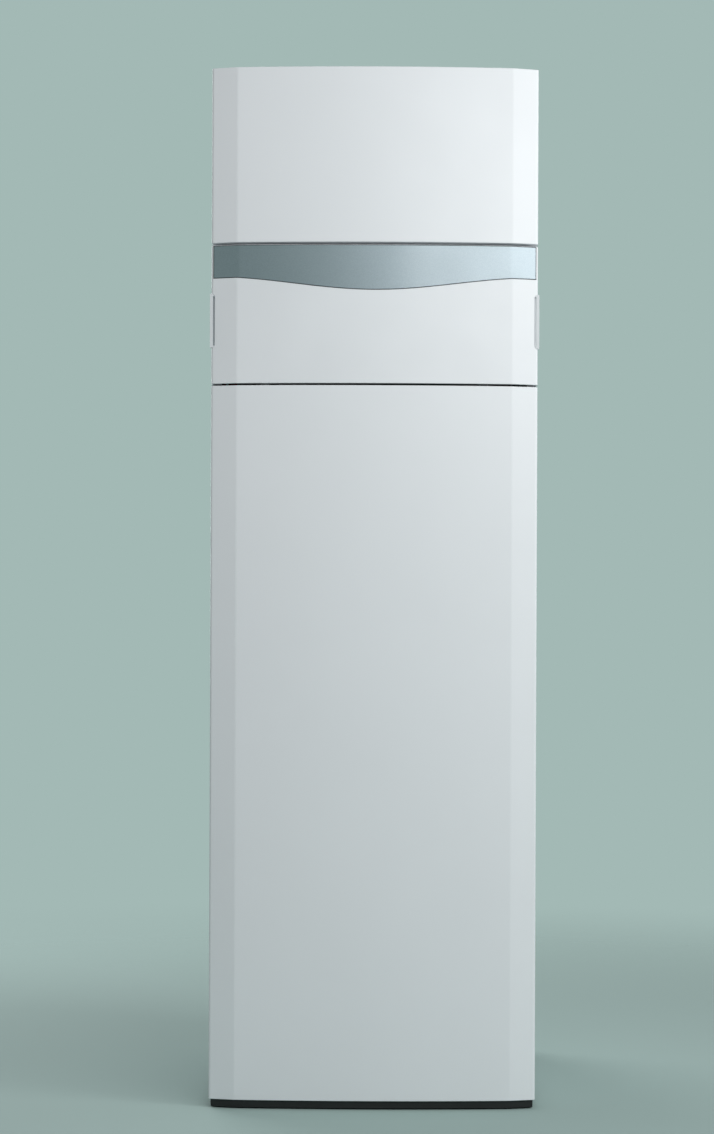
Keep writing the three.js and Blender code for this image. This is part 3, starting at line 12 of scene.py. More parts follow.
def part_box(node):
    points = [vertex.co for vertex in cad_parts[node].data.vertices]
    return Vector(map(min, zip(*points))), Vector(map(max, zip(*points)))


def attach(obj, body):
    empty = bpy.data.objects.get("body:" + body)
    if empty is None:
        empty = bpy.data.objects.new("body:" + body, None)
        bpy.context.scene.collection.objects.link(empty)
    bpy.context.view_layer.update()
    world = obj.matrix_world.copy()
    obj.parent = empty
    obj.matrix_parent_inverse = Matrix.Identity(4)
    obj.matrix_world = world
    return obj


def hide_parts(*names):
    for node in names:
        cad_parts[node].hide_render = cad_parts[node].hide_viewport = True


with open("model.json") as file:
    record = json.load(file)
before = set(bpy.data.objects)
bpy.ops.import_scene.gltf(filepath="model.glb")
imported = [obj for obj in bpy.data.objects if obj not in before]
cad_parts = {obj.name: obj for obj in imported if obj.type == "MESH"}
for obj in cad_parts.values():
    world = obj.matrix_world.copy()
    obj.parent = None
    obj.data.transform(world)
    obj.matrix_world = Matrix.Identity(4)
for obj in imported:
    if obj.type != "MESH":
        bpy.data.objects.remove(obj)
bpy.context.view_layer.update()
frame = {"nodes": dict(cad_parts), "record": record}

bl_info = {
    "name": "Gas Condensing Boiler",
    "version": (1, 0, 0),
    "blender": (4, 5, 0),
    "location": "3D View > Sidebar > Boiler",
    "description": "Builds the casing, flap, controls, flue and pipes of a condensing boiler",
    "category": "Add Mesh",
}

MM = 0.001
NODES = frame["nodes"]
RECORD = frame["record"]
BODY_OF = {node: body for body, nodes in RECORD["behaviour"]["bodies"].items() for node in nodes}
SLOT_OF = {row["node"]: row["material_slot"] for row in RECORD["subparts"]}
KEYS = ("key_left", "key_minus", "key_reset", "key_plus", "key_right")
X, Y, Z = Vector((1, 0, 0)), Vector((0, 1, 0)), Vector((0, 0, 1))
NOISE, CELLS = "ShaderNodeTexNoise", "ShaderNodeTexVoronoi"

# Each pipe's outer radius and the radius of its bends
WATER_PIPES = ("cold_water_pipe", "heating_return_pipe", "hot_water_pipe", "heating_flow_pipe")
PIPES = {"gas_pipe": (9 * MM, 16 * MM), **dict.fromkeys(WATER_PIPES, (11 * MM, 28 * MM))}


def mm(x, y, z):
    """A place or a step given in millimetres."""
    return Vector((x, y, z)) * MM


def low(node):
    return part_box(node)[0]


def high(node):
    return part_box(node)[1]


def middle(node):
    return (low(node) + high(node)) / 2


def face_centre(node, y):
    """The middle of a node, brought forward to a plane."""
    centre = middle(node)
    return Vector((centre.x, y, centre.z))


def at_height(node, z):
    """The middle of a node, brought up or down to a height."""
    centre = middle(node)
    return Vector((centre.x, centre.y, z))


def frame_joint(name):
    """Where a joint's axis passes."""
    row = next(joint for joint in RECORD["behaviour"]["joints"] if joint["name"] == name)
    return Vector(row["pos_m"])


def near(value, *places):
    """Whether a value lies at one of some places, to a hundredth of a millimetre."""
    return any(abs(value - place) < 0.01 * MM for place in places)


# The casing's front, seen from above, as the panels have it
HALF_WIDTH = high("lower_front_panel").x
FACE_Y = low("lower_front_panel").y
PANEL_BACK_Y = high("lower_front_panel").y
BULGE = 9 * MM
CHAMFER_WIDTH, CHAMFER_DEPTH = 47 * MM, 11 * MM
BEND_X = HALF_WIDTH - CHAMFER_WIDTH
BEND_Y = FACE_Y + BULGE
BULGE_RADIUS = (BEND_X**2 + BULGE**2) / (2 * BULGE)
BULGE_HALF_ANGLE = math.asin(BEND_X / BULGE_RADIUS)
BULGE_CENTRE_Y = FACE_Y + BULGE_RADIUS
CASE_TOP = high("top_cover").z


def linear(hex_colour, alpha=1.0):
    """An sRGB hex colour as the linear values that a shader takes."""
    channels = [int(hex_colour[i:i + 2], 16) / 255 for i in (1, 3, 5)]
    decoded = [c / 12.92 if c <= 0.04045 else ((c + 0.055) / 1.055) ** 2.4 for c in channels]
    return (*decoded, alpha)


def shade(colour, factor):
    """The same colour, lighter or darker."""
    return (*(min(c * factor, 1.0) for c in colour[:3]), 1.0)


def length_property(label, size, least, most, words):
    return FloatProperty(
        name=label, description=words, default=size * MM, min=least * MM, max=most * MM, unit="LENGTH")


def colour_property(label, words, hex_colour):
    return FloatVectorProperty(
        name=label, description=words, default=linear(hex_colour), size=4, min=0, max=1, subtype="COLOR")


class BoilerSizes(bpy.types.PropertyGroup):
    """Sizes of the boiler's finer details"""
    fold_radius: length_property("Fold radius", 1.3, 0.2, 3, "Outer radius of a sheet panel's folded edge")
    bend_softness: length_property("Bend softness", 2.5, 0.5, 8, "Width of the bends beside the chamfers")
    moulded_edge: length_property("Moulded edge", 0.6, 0.1, 1.2, "Rounding of the latch bars' edges")
    band_steps: IntProperty(
        name="Band steps", description="Steps of the trim band's sagging edge", default=72, min=16, max=200)
    round_steps: IntProperty(
        name="Round steps", description="Sides of the flue pipes", default=96, min=24, max=160)
    field_depth: length_property("Field depth", 3.4, 0.5, 4, "Depth of the rear panel's pressed fields")
    screw_head: length_property("Screw head", 8.4, 4, 12, "Diameter of the pan-head screws on the top")
    rib_depth: length_property("Rib depth", 5, 1, 6, "Depth of the stiffening ribs inside the flap")


class BoilerColours(bpy.types.PropertyGroup):
    """Colours of the boiler's finishes"""
    casing: colour_property("Casing", "Powder coat of the sheet panels", "#EDF1F4")
    flap: colour_property("Flap", "Moulded flap, matched to the casing", "#EDF1F4")
    trim: colour_property("Trim band", "Metallic lacquer of the trim band", "#868F95")
    grip: colour_property("Latch bars and keys", "Pale moulded plastic", "#DCE1E4")
    fascia: colour_property("Fascia", "Dark moulded plastic", "#3A3F44")
    # Partly painted shade: the plinth's near-black also draws the shadow in the gap under the casing.
    plinth: colour_property("Plinth", "Black paint of the base", "#0E0F10")
    red: colour_property("Red parts", "Red plastic and enamel", "#A8281F")
    copper: colour_property("Copper", "Drawn copper tube", "#C9825B")
    brass: colour_property("Brass", "Machined brass", "#CBB072")
    backdrop: colour_property("Backdrop", "Pale studio background", "#A3B9B5")


def add_node(tree, kind, settings=None, links=None):
    """Adds one node; settings go to its inputs or its properties, links feed its inputs."""
    node = tree.nodes.new(kind)
    for key, value in (settings or {}).items():
        if key in node.inputs:
            node.inputs[key].default_value = value
        else:
            setattr(node, key, value)
    for key, source in (links or {}).items():
        tree.links.new(source, node.inputs[key])
    return node


class Finish:
    """A material in the making: its node tree, the object's coordinates and one Principled shader."""

    def __init__(self, name, **surface):
        self.material = bpy.data.materials.new(name)
        self.material.use_nodes = True
        self.tree = self.material.node_tree
        self.tree.nodes.clear()
        self.place = add_node(self.tree, "ShaderNodeTexCoord").outputs["Object"]
        settings = {key.replace("_", " "): value for key, value in surface.items()}
        self.shader = add_node(self.tree, "ShaderNodeBsdfPrincipled", settings)
        surface_out = {"Surface": self.shader.outputs["BSDF"]}
        self.output = add_node(self.tree, "ShaderNodeOutputMaterial", links=surface_out)

    def pattern(self, texture, size, place=None, **settings):
        """A texture with cells that measure that many millimetres."""
        settings["Scale"] = 1 / (size * MM)
        return add_node(self.tree, texture, settings, {"Vector": place or self.place})

    def lines(self, spacing, share, **settings):
        """Fine lines along Z: noise of a real spacing, its coordinates squeezed along Z."""
        squeezed = add_node(self.tree, "ShaderNodeMapping", {"Scale": (1, 1, share)}, {"Vector": self.place})
        return self.pattern(NOISE, spacing, squeezed.outputs["Vector"], **settings).outputs["Fac"]

    def flecks(self, size):
        """Random values that hold over each cell of a real size, one in each channel."""
        cells = self.pattern(CELLS, size).outputs["Color"]
        return add_node(self.tree, "ShaderNodeSeparateColor", links={"Color": cells}).outputs

    def two_tone(self, pattern, first, last, spots=(0, 1)):
        """Base colour that runs from one colour to another along a pattern."""
        ramp = add_node(self.tree, "ShaderNodeValToRGB", links={"Fac": pattern})
        for element, spot, colour in zip(ramp.color_ramp.elements, spots, (first, last)):
            element.position = spot
            element.color = colour
        self.tree.links.new(ramp.outputs["Color"], self.shader.inputs["Base Color"])

    def mottle(self, size, dark, light, detail=4.0):
        """Base colour that drifts between two colours over patches of a real size."""
        cloud = self.pattern(NOISE, size, Detail=detail).outputs["Fac"]
        self.two_tone(cloud, dark, light, (0.32, 0.68))

    def gloss_along(self, pattern, lowest, highest, spots=(0.3, 0.7)):
        """Roughness that runs between two values along a pattern."""
        span = {"From Min": spots[0], "From Max": spots[1], "To Min": lowest, "To Max": highest}
        gloss = add_node(self.tree, "ShaderNodeMapRange", span, {"Value": pattern})
        self.tree.links.new(gloss.outputs["Result"], self.shader.inputs["Roughness"])

    def vary_gloss(self, size, lowest, highest, detail=3.0):
        """Roughness that drifts between two values over patches of a real size."""
        self.gloss_along(self.pattern(NOISE, size, Detail=detail).outputs["Fac"], lowest, highest)

    def relief(self, height, strength, depth):
        """Bumps along a pattern, of a real depth in millimetres."""
        settings = {"Strength": strength, "Distance": depth * MM}
        bump = add_node(self.tree, "ShaderNodeBump", settings, {"Height": height})
        self.tree.links.new(bump.outputs["Normal"], self.shader.inputs["Normal"])


def powder_coat(name, colour):
    # Polyester powder coat, sprayed and baked on sheet steel: satin, with a faint orange peel of some 2.5 mm.
    coat = Finish(name, IOR=1.5)
    coat.mottle(240, shade(colour, 0.985), colour, 2.0)
    coat.vary_gloss(70, 0.33, 0.39)
    coat.relief(coat.pattern(NOISE, 2.5, Detail=1.0).outputs["Fac"], 0.12, 0.03)
    return coat.material


def moulded_plastic(name, colour, grain, depth, gloss):
    # Injection-moulded plastic: the spark-eroded tool leaves a fine, even grain, drawn coarse enough to show.
    skin = Finish(name, IOR=1.53)
    skin.mottle(160, shade(colour, 0.97), colour, 2.0)
    skin.vary_gloss(45, gloss - 0.03, gloss + 0.04)
    skin.relief(skin.pattern(CELLS, grain).outputs["Distance"], 0.25, depth)
    return skin.material


def metallic_lacquer(name, colour):
    # Silver lacquer under a clear coat, with aluminium flakes drawn at 0.9 mm so that they show.
    lacquer = Finish(name, Metallic=0.85, Coat_Weight=0.25, Coat_Roughness=0.12, Coat_IOR=1.5)
    # Painted glint: the flakes' sparkle is painted into the base colour as lighter and darker cells.
    lacquer.two_tone(lacquer.flecks(0.9)["Red"], shade(colour, 0.93), shade(colour, 1.06))
    lacquer.vary_gloss(120, 0.35, 0.39, 1.0)
    return lacquer.material


def zinc_plate(name):
    # Hot-dip galvanised sheet: zinc dulled by its own oxide, in frost-like spangles about 9 mm across.
    zinc = Finish(name, Metallic=0.65)
    spangles = zinc.flecks(9)
    zinc.two_tone(spangles["Green"], linear("#B7BCBF"), linear("#CBCFD1"))
    zinc.gloss_along(spangles["Red"], 0.42, 0.52, (0, 1))
    return zinc.material


def rolled_steel(name, colour):
    # Cold-rolled stainless steel: fine lines along the rolling direction, about 0.6 mm apart.
    steel = Finish(name, Base_Color=colour, Metallic=1.0)
    lines = steel.lines(0.6, 0.025, Detail=3.0)
    steel.gloss_along(lines, 0.23, 0.39)
    steel.relief(lines, 0.15, 0.02)
    return steel.material


def cast_metal(name, colour, metallic, gloss):
    # Sand-blasted casting: an uneven, grainy skin with grit marks about 1.4 mm across.
    casting = Finish(name, Metallic=metallic)
    casting.mottle(35, shade(colour, 0.85), colour)
    casting.vary_gloss(12, gloss - 0.06, gloss + 0.08)
    casting.relief(casting.pattern(NOISE, 1.4, Detail=4.0).outputs["Fac"], 0.4, 0.15)
    return casting.material


def turned_brass(name, colour):
    # Machined brass: bright, with a warm tarnish that drifts over some 12 mm and faint turning marks 1 mm
    # apart. A wave texture draws about three bands to a cell, hence its size of 3.14 mm.
    brass = Finish(name, Metallic=1.0)
    brass.mottle(12, shade(colour, 0.82), colour)
    brass.vary_gloss(8, 0.24, 0.36)
    marks = brass.pattern("ShaderNodeTexWave", 3.14, Distortion=0.4, bands_direction="Z")
    brass.relief(marks.outputs["Fac"], 0.08, 0.02)
    return brass.material


def drawn_copper(name, colour):
    # Drawn copper tube: bright to brown patches some 25 mm long, with faint draw lines along it.
    copper = Finish(name, Metallic=1.0)
    copper.mottle(25, shade(colour, 0.68), colour)
    copper.vary_gloss(18, 0.26, 0.42)
    copper.relief(copper.lines(0.7, 0.03), 0.12, 0.02)
    return copper.material


def matt_paint(name, colour, gloss=0.55):
    # Stoved paint or print: dull, a little dusty, with a fine 1 mm texture.
    paint = Finish(name, IOR=1.5)
    paint.mottle(60, shade(colour, 0.85), shade(colour, 1.15))
    paint.vary_gloss(25, gloss - 0.06, gloss + 0.08)
    paint.relief(paint.pattern(NOISE, 1).outputs["Fac"], 0.2, 0.04)
    return paint.material


def rubber(name):
    # Moulded EPDM rubber: near black, with a soft bloom and a pebbled skin of 0.9 mm.
    skin = Finish(name, IOR=1.52, Specular_IOR_Level=0.3)
    skin.mottle(14, linear("#141414"), linear("#242525"))
    skin.vary_gloss(10, 0.7, 0.85)
    skin.relief(skin.pattern(CELLS, 0.9).outputs["Distance"], 0.3, 0.06)
    return skin.material


def tinted_acrylic(name, dark, light):
    # Tinted acrylic window or lens: deep and glossy, with wiping marks that only show in its gloss.
    acrylic = Finish(name, IOR=1.49, Coat_Weight=0.5, Coat_Roughness=0.03)
    acrylic.mottle(90, dark, light, 1.0)
    acrylic.vary_gloss(20, 0.05, 0.12)
    return acrylic.material


def clear_acrylic(name):
    # Clear acrylic lens: colourless, with faint wiping marks in its gloss.
    acrylic = Finish(name, Base_Color=linear("#F6F9F9"), IOR=1.49, Transmission_Weight=1.0)
    acrylic.vary_gloss(15, 0.01, 0.05)
    return acrylic.material


def screen_film(name):
    # Reflective LCD film, switched off: grey-green with a pixel grid, 0.25 mm in truth but drawn at 0.8 mm.
    film = Finish(name, IOR=1.5)
    pixels = film.pattern(CELLS, 0.8, Randomness=0.0, distance="CHEBYCHEV")
    film.two_tone(pixels.outputs["Distance"], linear("#75837C"), linear("#66736D"), (0.4, 0.5))
    film.vary_gloss(30, 0.2, 0.3)
    return film.material


def rigid_foam(name):
    # Moulded polystyrene shell: beads about 4 mm across, pressed flat against each other.
    foam = Finish(name, IOR=1.45)
    foam.mottle(50, linear("#C6C8C5"), linear("#DCDEDB"))
    foam.vary_gloss(20, 0.75, 0.9)
    foam.relief(foam.pattern(CELLS, 4).outputs["Distance"], 0.5, 0.4)
    return foam.material


def glazed_ceramic(name):
    # Glazed alumina: cream and glossy, with a few scorched clouds.
    glaze = Finish(name, IOR=1.6, Coat_Weight=0.4, Coat_Roughness=0.05)
    glaze.mottle(9, linear("#CFC4AE"), linear("#EFEAE0"))
    glaze.vary_gloss(6, 0.15, 0.25)
    return glaze.material


FINISHES = {}


def make_finishes(colours):
    """Makes every finish once, under the record's slot names and a few of the scene's own."""
    FINISHES.update({
        "white_paint": powder_coat("Powder-coated sheet steel, cool white", colours.casing),
        "white_abs": moulded_plastic("Moulded ABS, cool white", colours.flap, 0.8, 0.01, 0.36),
        "silver_trim": metallic_lacquer("Silver metallic lacquer", colours.trim),
        "pale_abs": moulded_plastic("Moulded ABS, pale grey", colours.grip, 0.7, 0.02, 0.4),
        "dark_abs": moulded_plastic("Moulded ABS, dark grey", colours.fascia, 0.9, 0.03, 0.5),
        "red_plastic": moulded_plastic("Moulded polypropylene, red", colours.red, 0.9, 0.02, 0.38),
        "display_glass": tinted_acrylic("Smoked acrylic", linear("#101518"), linear("#171D20")),
        "lamp_lens": tinted_acrylic("Green acrylic", linear("#1D5A3C"), linear("#2B7650")),
        "clear_glass": clear_acrylic("Clear acrylic"),
        # Partly painted shade: the plinth's near-black also draws the shadow in the gap under the casing.
        "black_steel": matt_paint("Stoved black paint", colours.plinth),
        "zinc_sheet": zinc_plate("Galvanised sheet steel"),
        "stainless_steel": rolled_steel("Rolled stainless steel", linear("#C3C4C3")),
        "cast_aluminium": cast_metal("Blasted die-cast aluminium", linear("#B4B7BA"), 1.0, 0.5),
        "pump_iron": cast_metal("Painted cast iron", linear("#34383B"), 0.3, 0.55),
        "brass_fitting": turned_brass("Machined brass", colours.brass),
        "copper_tube": drawn_copper("Drawn copper", colours.copper),
        "red_enamel": matt_paint("Stoved red enamel", colours.red, 0.35),
        "insulation_foam": rigid_foam("Moulded polystyrene"),
        "electrode_ceramic": glazed_ceramic("Glazed alumina"),
        "foot_rubber": rubber("Moulded EPDM rubber"),
        "screen": screen_film("Reflective LCD film"),
        "dark_print": matt_paint("Black screen print", linear("#1B1E20"), 0.5),
        "white_print": matt_paint("White screen print", linear("#E6E8E8"), 0.5),
    })


def finished_mesh(name, bm):
    """Turns a bmesh into a mesh and frees it."""
    mesh = bpy.data.meshes.new(name)
    bm.to_mesh(mesh)
    bm.free()
    return mesh


def add_object(name, data):
    """Puts a mesh, a text, a lamp or a camera into the scene."""
    item = bpy.data.objects.new(name, data)
    bpy.context.scene.collection.objects.link(item)
    return item


def add_piece(name, bm, node, finish=None, replaced=(), welded=False):
    """A finished mesh as a piece that rides with a node's body and takes a slot's finish."""
    if welded:
        bmesh.ops.remove_doubles(bm, verts=bm.verts, dist=0.002 * MM)
        bmesh.ops.recalc_face_normals(bm, faces=bm.faces)
    crease = math.radians(32)
    for face in bm.faces:
        face.smooth = True
    for edge in bm.edges:
        edge.smooth = not (edge.is_manifold and edge.calc_face_angle(0) > crease)
    piece = add_object(name, finished_mesh(name, bm))
    piece.data.materials.append(FINISHES[finish or SLOT_OF[node]])
    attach(piece, BODY_OF[node])
    if replaced:
        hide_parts(*replaced)
    return piece


def even_shading(piece):
    """Keeps broad flat faces flat where small rounded edges meet them."""
    modifier = piece.modifiers.new("Even shading", "WEIGHTED_NORMAL")
    modifier.keep_sharp = True


def round_off(piece, width, angle=50):
    """Rounds a piece's sharp edges with a live bevel."""
    modifier = piece.modifiers.new("Rounded edges", "BEVEL")
    modifier.width = width
    modifier.segments = 2
    modifier.limit_method = "ANGLE"
    modifier.angle_limit = math.radians(angle)
    modifier.harden_normals = True


def add_wall(piece, thickness):
    """Gives a sheet its thickness, inward from the outer face."""
    modifier = piece.modifiers.new("Wall", "SOLIDIFY")
    modifier.thickness = thickness
    modifier.offset = -1


def whole_copy(node):
    """A copy of a node whose loose triangles are merged into whole faces."""
    bm = bmesh.new()
    bm.from_mesh(NODES[node].data)
    bmesh.ops.remove_doubles(bm, verts=bm.verts, dist=0.01 * MM)
    bmesh.ops.dissolve_limit(bm, angle_limit=math.radians(0.2), verts=bm.verts, edges=bm.edges)
    return bm


def facing(place, axis):
    """Stands a shape made along Z at a place, along an axis."""
    return Matrix.Translation(place) @ Z.rotation_difference(Vector(axis)).to_matrix().to_4x4()


def upright(place):
    """Stands a flat shape up at a place, facing the front."""
    return Matrix.Translation(place) @ Matrix.Rotation(math.pi / 2, 4, "X")


def bevel(bm, parts, width, segments, affect="EDGES"):
    bmesh.ops.bevel(
        bm, geom=list(parts), offset=width, segments=segments, profile=0.5, affect=affect,
        offset_type="OFFSET", material=-1)


def fold_round(bm, wanted, width, segments=3, least=25):
    """Rounds the edges that a test picks, where they turn by more than the least angle."""
    edges = [
        edge for edge in bm.edges
        if edge.is_manifold and edge.calc_face_angle(0) > math.radians(least)
        and wanted((edge.verts[0].co + edge.verts[1].co) / 2, edge)
    ]
    bevel(bm, edges, width, segments)


def dress_sheet(name, bm, node, wanted, width, segments=3):
    """Rounds the folds that a test picks and puts the sheet in its node's place."""
    fold_round(bm, wanted, width, segments)
    even_shading(add_piece(name, bm, node, replaced=[node]))


def add_vertex(bm, place):
    return bmesh.ops.create_vert(bm, co=place)["vert"][0]


def only(kind, geometry):
    """The items of one bmesh type."""
    return [item for item in geometry if isinstance(item, kind)]


def draw_out(bm, result, reach):
    """Moves what an extrusion has made by a reach; returns its vertices."""
    drawn = only(bmesh.types.BMVert, result["geom"])
    bmesh.ops.translate(bm, verts=drawn, vec=reach)
    return drawn


def add_strip(bm, reach):
    """Draws a chain of edges out into a strip."""
    draw_out(bm, bmesh.ops.extrude_edge_only(bm, edges=list(bm.edges)), reach)


def thicken(bm, faces, reach):
    """Draws faces out into a closed solid; returns the new vertices."""
    return draw_out(bm, bmesh.ops.extrude_face_region(bm, geom=list(faces), use_keep_orig=True), reach)


def merge_into(target, source):
    """Adds one bmesh's geometry to another and frees it."""
    mesh = finished_mesh("merged", source)
    target.from_mesh(mesh)
    bpy.data.meshes.remove(mesh)


def add_block(bm, lowest, highest):
    """A box between two corners; returns its vertices."""
    size = Vector(highest) - Vector(lowest)
    centre = (Vector(highest) + Vector(lowest)) / 2
    matrix = Matrix.Translation(centre) @ Matrix.Diagonal((*size, 1))
    return bmesh.ops.create_cube(bm, size=1, matrix=matrix)["verts"]


def add_bars(bm, centre, bars, front, back):
    """Printed bars round a centre, each from its left, bottom, right and top sides in millimetres."""
    for left, bottom, right, top in bars:
        add_block(bm, centre + mm(left, front, bottom), centre + mm(right, back, top))


def block(lowest, highest):
    """A box of its own, as a piece or as a cutter."""
    bm = bmesh.new()
    add_block(bm, lowest, highest)
    return bm


def chain_wires(bm, points):
    """Joins each vertex to the next; returns the edges."""
    pairs = zip(points, points[1:])
    return [bmesh.ops.contextual_create(bm, geom=list(pair))["edges"][0] for pair in pairs]


def add_plate(bm, outline, reach):
    """A flat plate: one face on an outline, drawn out by a reach; returns its vertices."""
    corners = [add_vertex(bm, place) for place in outline]
    rim = chain_wires(bm, corners + corners[:1])
    moved = thicken(bm, bmesh.ops.edgeloop_fill(bm, edges=rim)["faces"], reach)
    faces = {face for vertex in corners + moved for face in vertex.link_faces}
    bmesh.ops.recalc_face_normals(bm, faces=list(faces))
    return corners + moved


def ring_profile(inner, outer, bottom, top):
    """The closed profile of a ring with square corners."""
    return [(inner, bottom), (outer, bottom), (outer, top), (inner, top), (inner, bottom)]


def add_turned(bm, profile, centre, axis=Z, steps=64):
    """Spins a profile of (radius, height) pairs in millimetres about an axis through a centre."""
    before = set(bm.verts)
    points = [add_vertex(bm, (radius * MM, 0, height * MM)) for radius, height in profile]
    wires = chain_wires(bm, points)
    bmesh.ops.spin(
        bm, geom=points + wires, cent=(0, 0, 0), axis=Z, angle=math.tau, steps=steps, use_merge=True)
    turned = [vertex for vertex in bm.verts if vertex not in before]
    bmesh.ops.transform(bm, matrix=facing(centre, axis), verts=turned)
    return turned


def turned_piece(name, profile, centre, node, axis=Z, steps=64, **options):
    """A piece that is one turned shape."""
    bm = bmesh.new()
    add_turned(bm, profile, centre, axis, steps)
    add_piece(name, bm, node, welded=True, **options)


def add_screws(name, node, places, axis, diameter, height=2.2):
    """Pan-head screws with a recess for the driver, as one piece."""
    radius = diameter / 2 / MM
    dome = [(0, 0), (1, 0), (1, 0.35), (0.93, 0.66), (0.78, 0.88), (0.5, 1)]
    recess = [(0.2, 1), (0.12, 0.25), (0, 0.2)]
    bm = bmesh.new()
    for place in places:
        add_turned(bm, [(radius * out, height * up) for out, up in dome + recess], place, axis, 28)
    add_piece(name, bm, node, "zinc_sheet", welded=True)


def add_prism(bm, sides, radius, depth, matrix):
    """A solid with a regular outline, its middle at a matrix's place."""
    bmesh.ops.create_cone(
        bm, cap_ends=True, segments=sides, radius1=radius, radius2=radius, depth=depth, matrix=matrix)


def cylinder(centre, radius, depth, axis, steps=64):
    """A round cutter."""
    bm = bmesh.new()
    add_prism(bm, steps, radius, depth, facing(centre, axis))
    return bm


def evaluated_mesh(item):
    """An object's mesh as its modifiers or its text settings make it."""
    bpy.context.view_layer.update()
    return bpy.data.meshes.new_from_object(item.evaluated_get(bpy.context.evaluated_depsgraph_get()))


def cut_holes(piece, cutters):
    """Cuts closed bmesh cutters out of a piece and keeps the result as its mesh."""
    tools = []
    for i, cutter in enumerate(cutters):
        bmesh.ops.recalc_face_normals(cutter, faces=cutter.faces)
        tool = add_object(f"cutter_{i}", finished_mesh(f"cutter_{i}", cutter))
        modifier = piece.modifiers.new(f"Cut {i}", "BOOLEAN")
        modifier.operation = "DIFFERENCE"
        modifier.solver = "EXACT"
        modifier.object = tool
        tools.append(tool)
    mesh = evaluated_mesh(piece)
    piece.modifiers.clear()
    piece.data = mesh
    for tool in tools:
        bpy.data.meshes.remove(tool.data)


def front_y(x):
    """Where the casing's front lies at a place across it."""
    across = abs(x)
    if across <= BEND_X:
        return BULGE_CENTRE_Y - math.sqrt(BULGE_RADIUS**2 - across**2)
    return BEND_Y + min((across - BEND_X) / CHAMFER_WIDTH, 1) * CHAMFER_DEPTH


def add_front_arc(bm, z, inset, steps):
    """The front's bulge as a chain of edges, from its left bend to its right one."""
    radius = BULGE_RADIUS - inset
    reach = BEND_X - inset * math.sin(BULGE_HALF_ANGLE)
    angle = math.asin(reach / radius)
    start = add_vertex(bm, (-reach, BULGE_CENTRE_Y - radius * math.cos(angle), z))
    bmesh.ops.spin(bm, geom=[start], cent=(0, BULGE_CENTRE_Y, z), axis=Z, angle=2 * angle, steps=steps)
    return sorted(bm.verts, key=lambda v: v.co.x)


def dress_front(name, node, sizes):
    """A front panel, or the flap: its bends softened, and its top and bottom rims folded over."""
    bottom, top = low(node).z, high(node).z
    sheet = 1.4 * MM

    def on_bend(p, edge):
        tall = abs(edge.verts[0].co.z - edge.verts[1].co.z) > 10 * MM
        return tall and abs(abs(p.x) - BEND_X) < 0.05 * MM and p.y < BEND_Y + 0.05 * MM

    def on_rim(p, edge):
        outer = abs(p.x) > HALF_WIDTH - sheet or p.y < front_y(p.x) + sheet
        return near(p.z, bottom, top) and outer and p.y < PANEL_BACK_Y - 0.2 * MM

    bm = whole_copy(node)
    fold_round(bm, on_bend, sizes.bend_softness, least=2)
    dress_sheet(name, bm, node, on_rim, sizes.fold_radius)


class BOILER_OT_front_panels(bpy.types.Operator):
    """Build the two folded front panels"""
    bl_idname = "boiler.front_panels"
    bl_label = "Front Panels"

    def execute(self, context):
        for node in ("upper_front_panel", "lower_front_panel"):
            dress_front(f"{node}_sheet", node, context.scene.boiler_sizes)
        return {"FINISHED"}


class BOILER_OT_side_panels(bpy.types.Operator):
    """Build the two side panels"""
    bl_idname = "boiler.side_panels"
    bl_label = "Side Panels"

    def execute(self, context):
        radius = context.scene.boiler_sizes.fold_radius
        for node in ("left_side_panel", "right_side_panel"):
            start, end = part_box(node)

            def on_fold(p, edge):
                ends = near(p.z, start.z, end.z) or near(p.y, start.y, end.y)
                return near(abs(p.x), HALF_WIDTH) and ends

            dress_sheet(f"{node}_sheet", whole_copy(node), node, on_fold, radius)
        return {"FINISHED"}


class BOILER_OT_top_cover(bpy.types.Operator):
    """Build the top cover with its grommets and screws"""
    bl_idname = "boiler.top_cover"
    bl_label = "Top Cover"

    def execute(self, context):
        sizes = context.scene.boiler_sizes
        node = "top_cover"
        front, rear = low("left_side_panel").y, high(node).y

        def on_fold(p, edge):
            return near(p.z, CASE_TOP) and (near(abs(p.x), HALF_WIDTH) or near(p.y, front, rear))

        tighter = 0.85
        dress_sheet("top_cover_sheet", whole_copy(node), node, on_fold, sizes.fold_radius * tighter)
        places = [
            Vector((side * (HALF_WIDTH - 20 * MM), y, CASE_TOP))
            for side in (-1, 0, 1) for y in (front + 20 * MM, rear - 16 * MM)
        ]
        add_screws("top_cover_screws", node, places, Z, sizes.screw_head)

        lip = [
            (0.1, 0.1), (8, 0.1), (8, 1.2), (7.2, 2.2), (3.5, 2.6), (2.6, 5.4), (1.6, 6.2), (0.1, 6.2),
            (0.1, 0.1),
        ]
        bm = bmesh.new()
        for pipe, (radius, _) in PIPES.items():
            place = pipe_top(pipe)
            place.z = CASE_TOP
            add_turned(bm, [(radius / MM + out, up) for out, up in lip], place, Z, 48)
        add_piece("pipe_grommets", bm, node, "foot_rubber", welded=True)
        return {"FINISHED"}


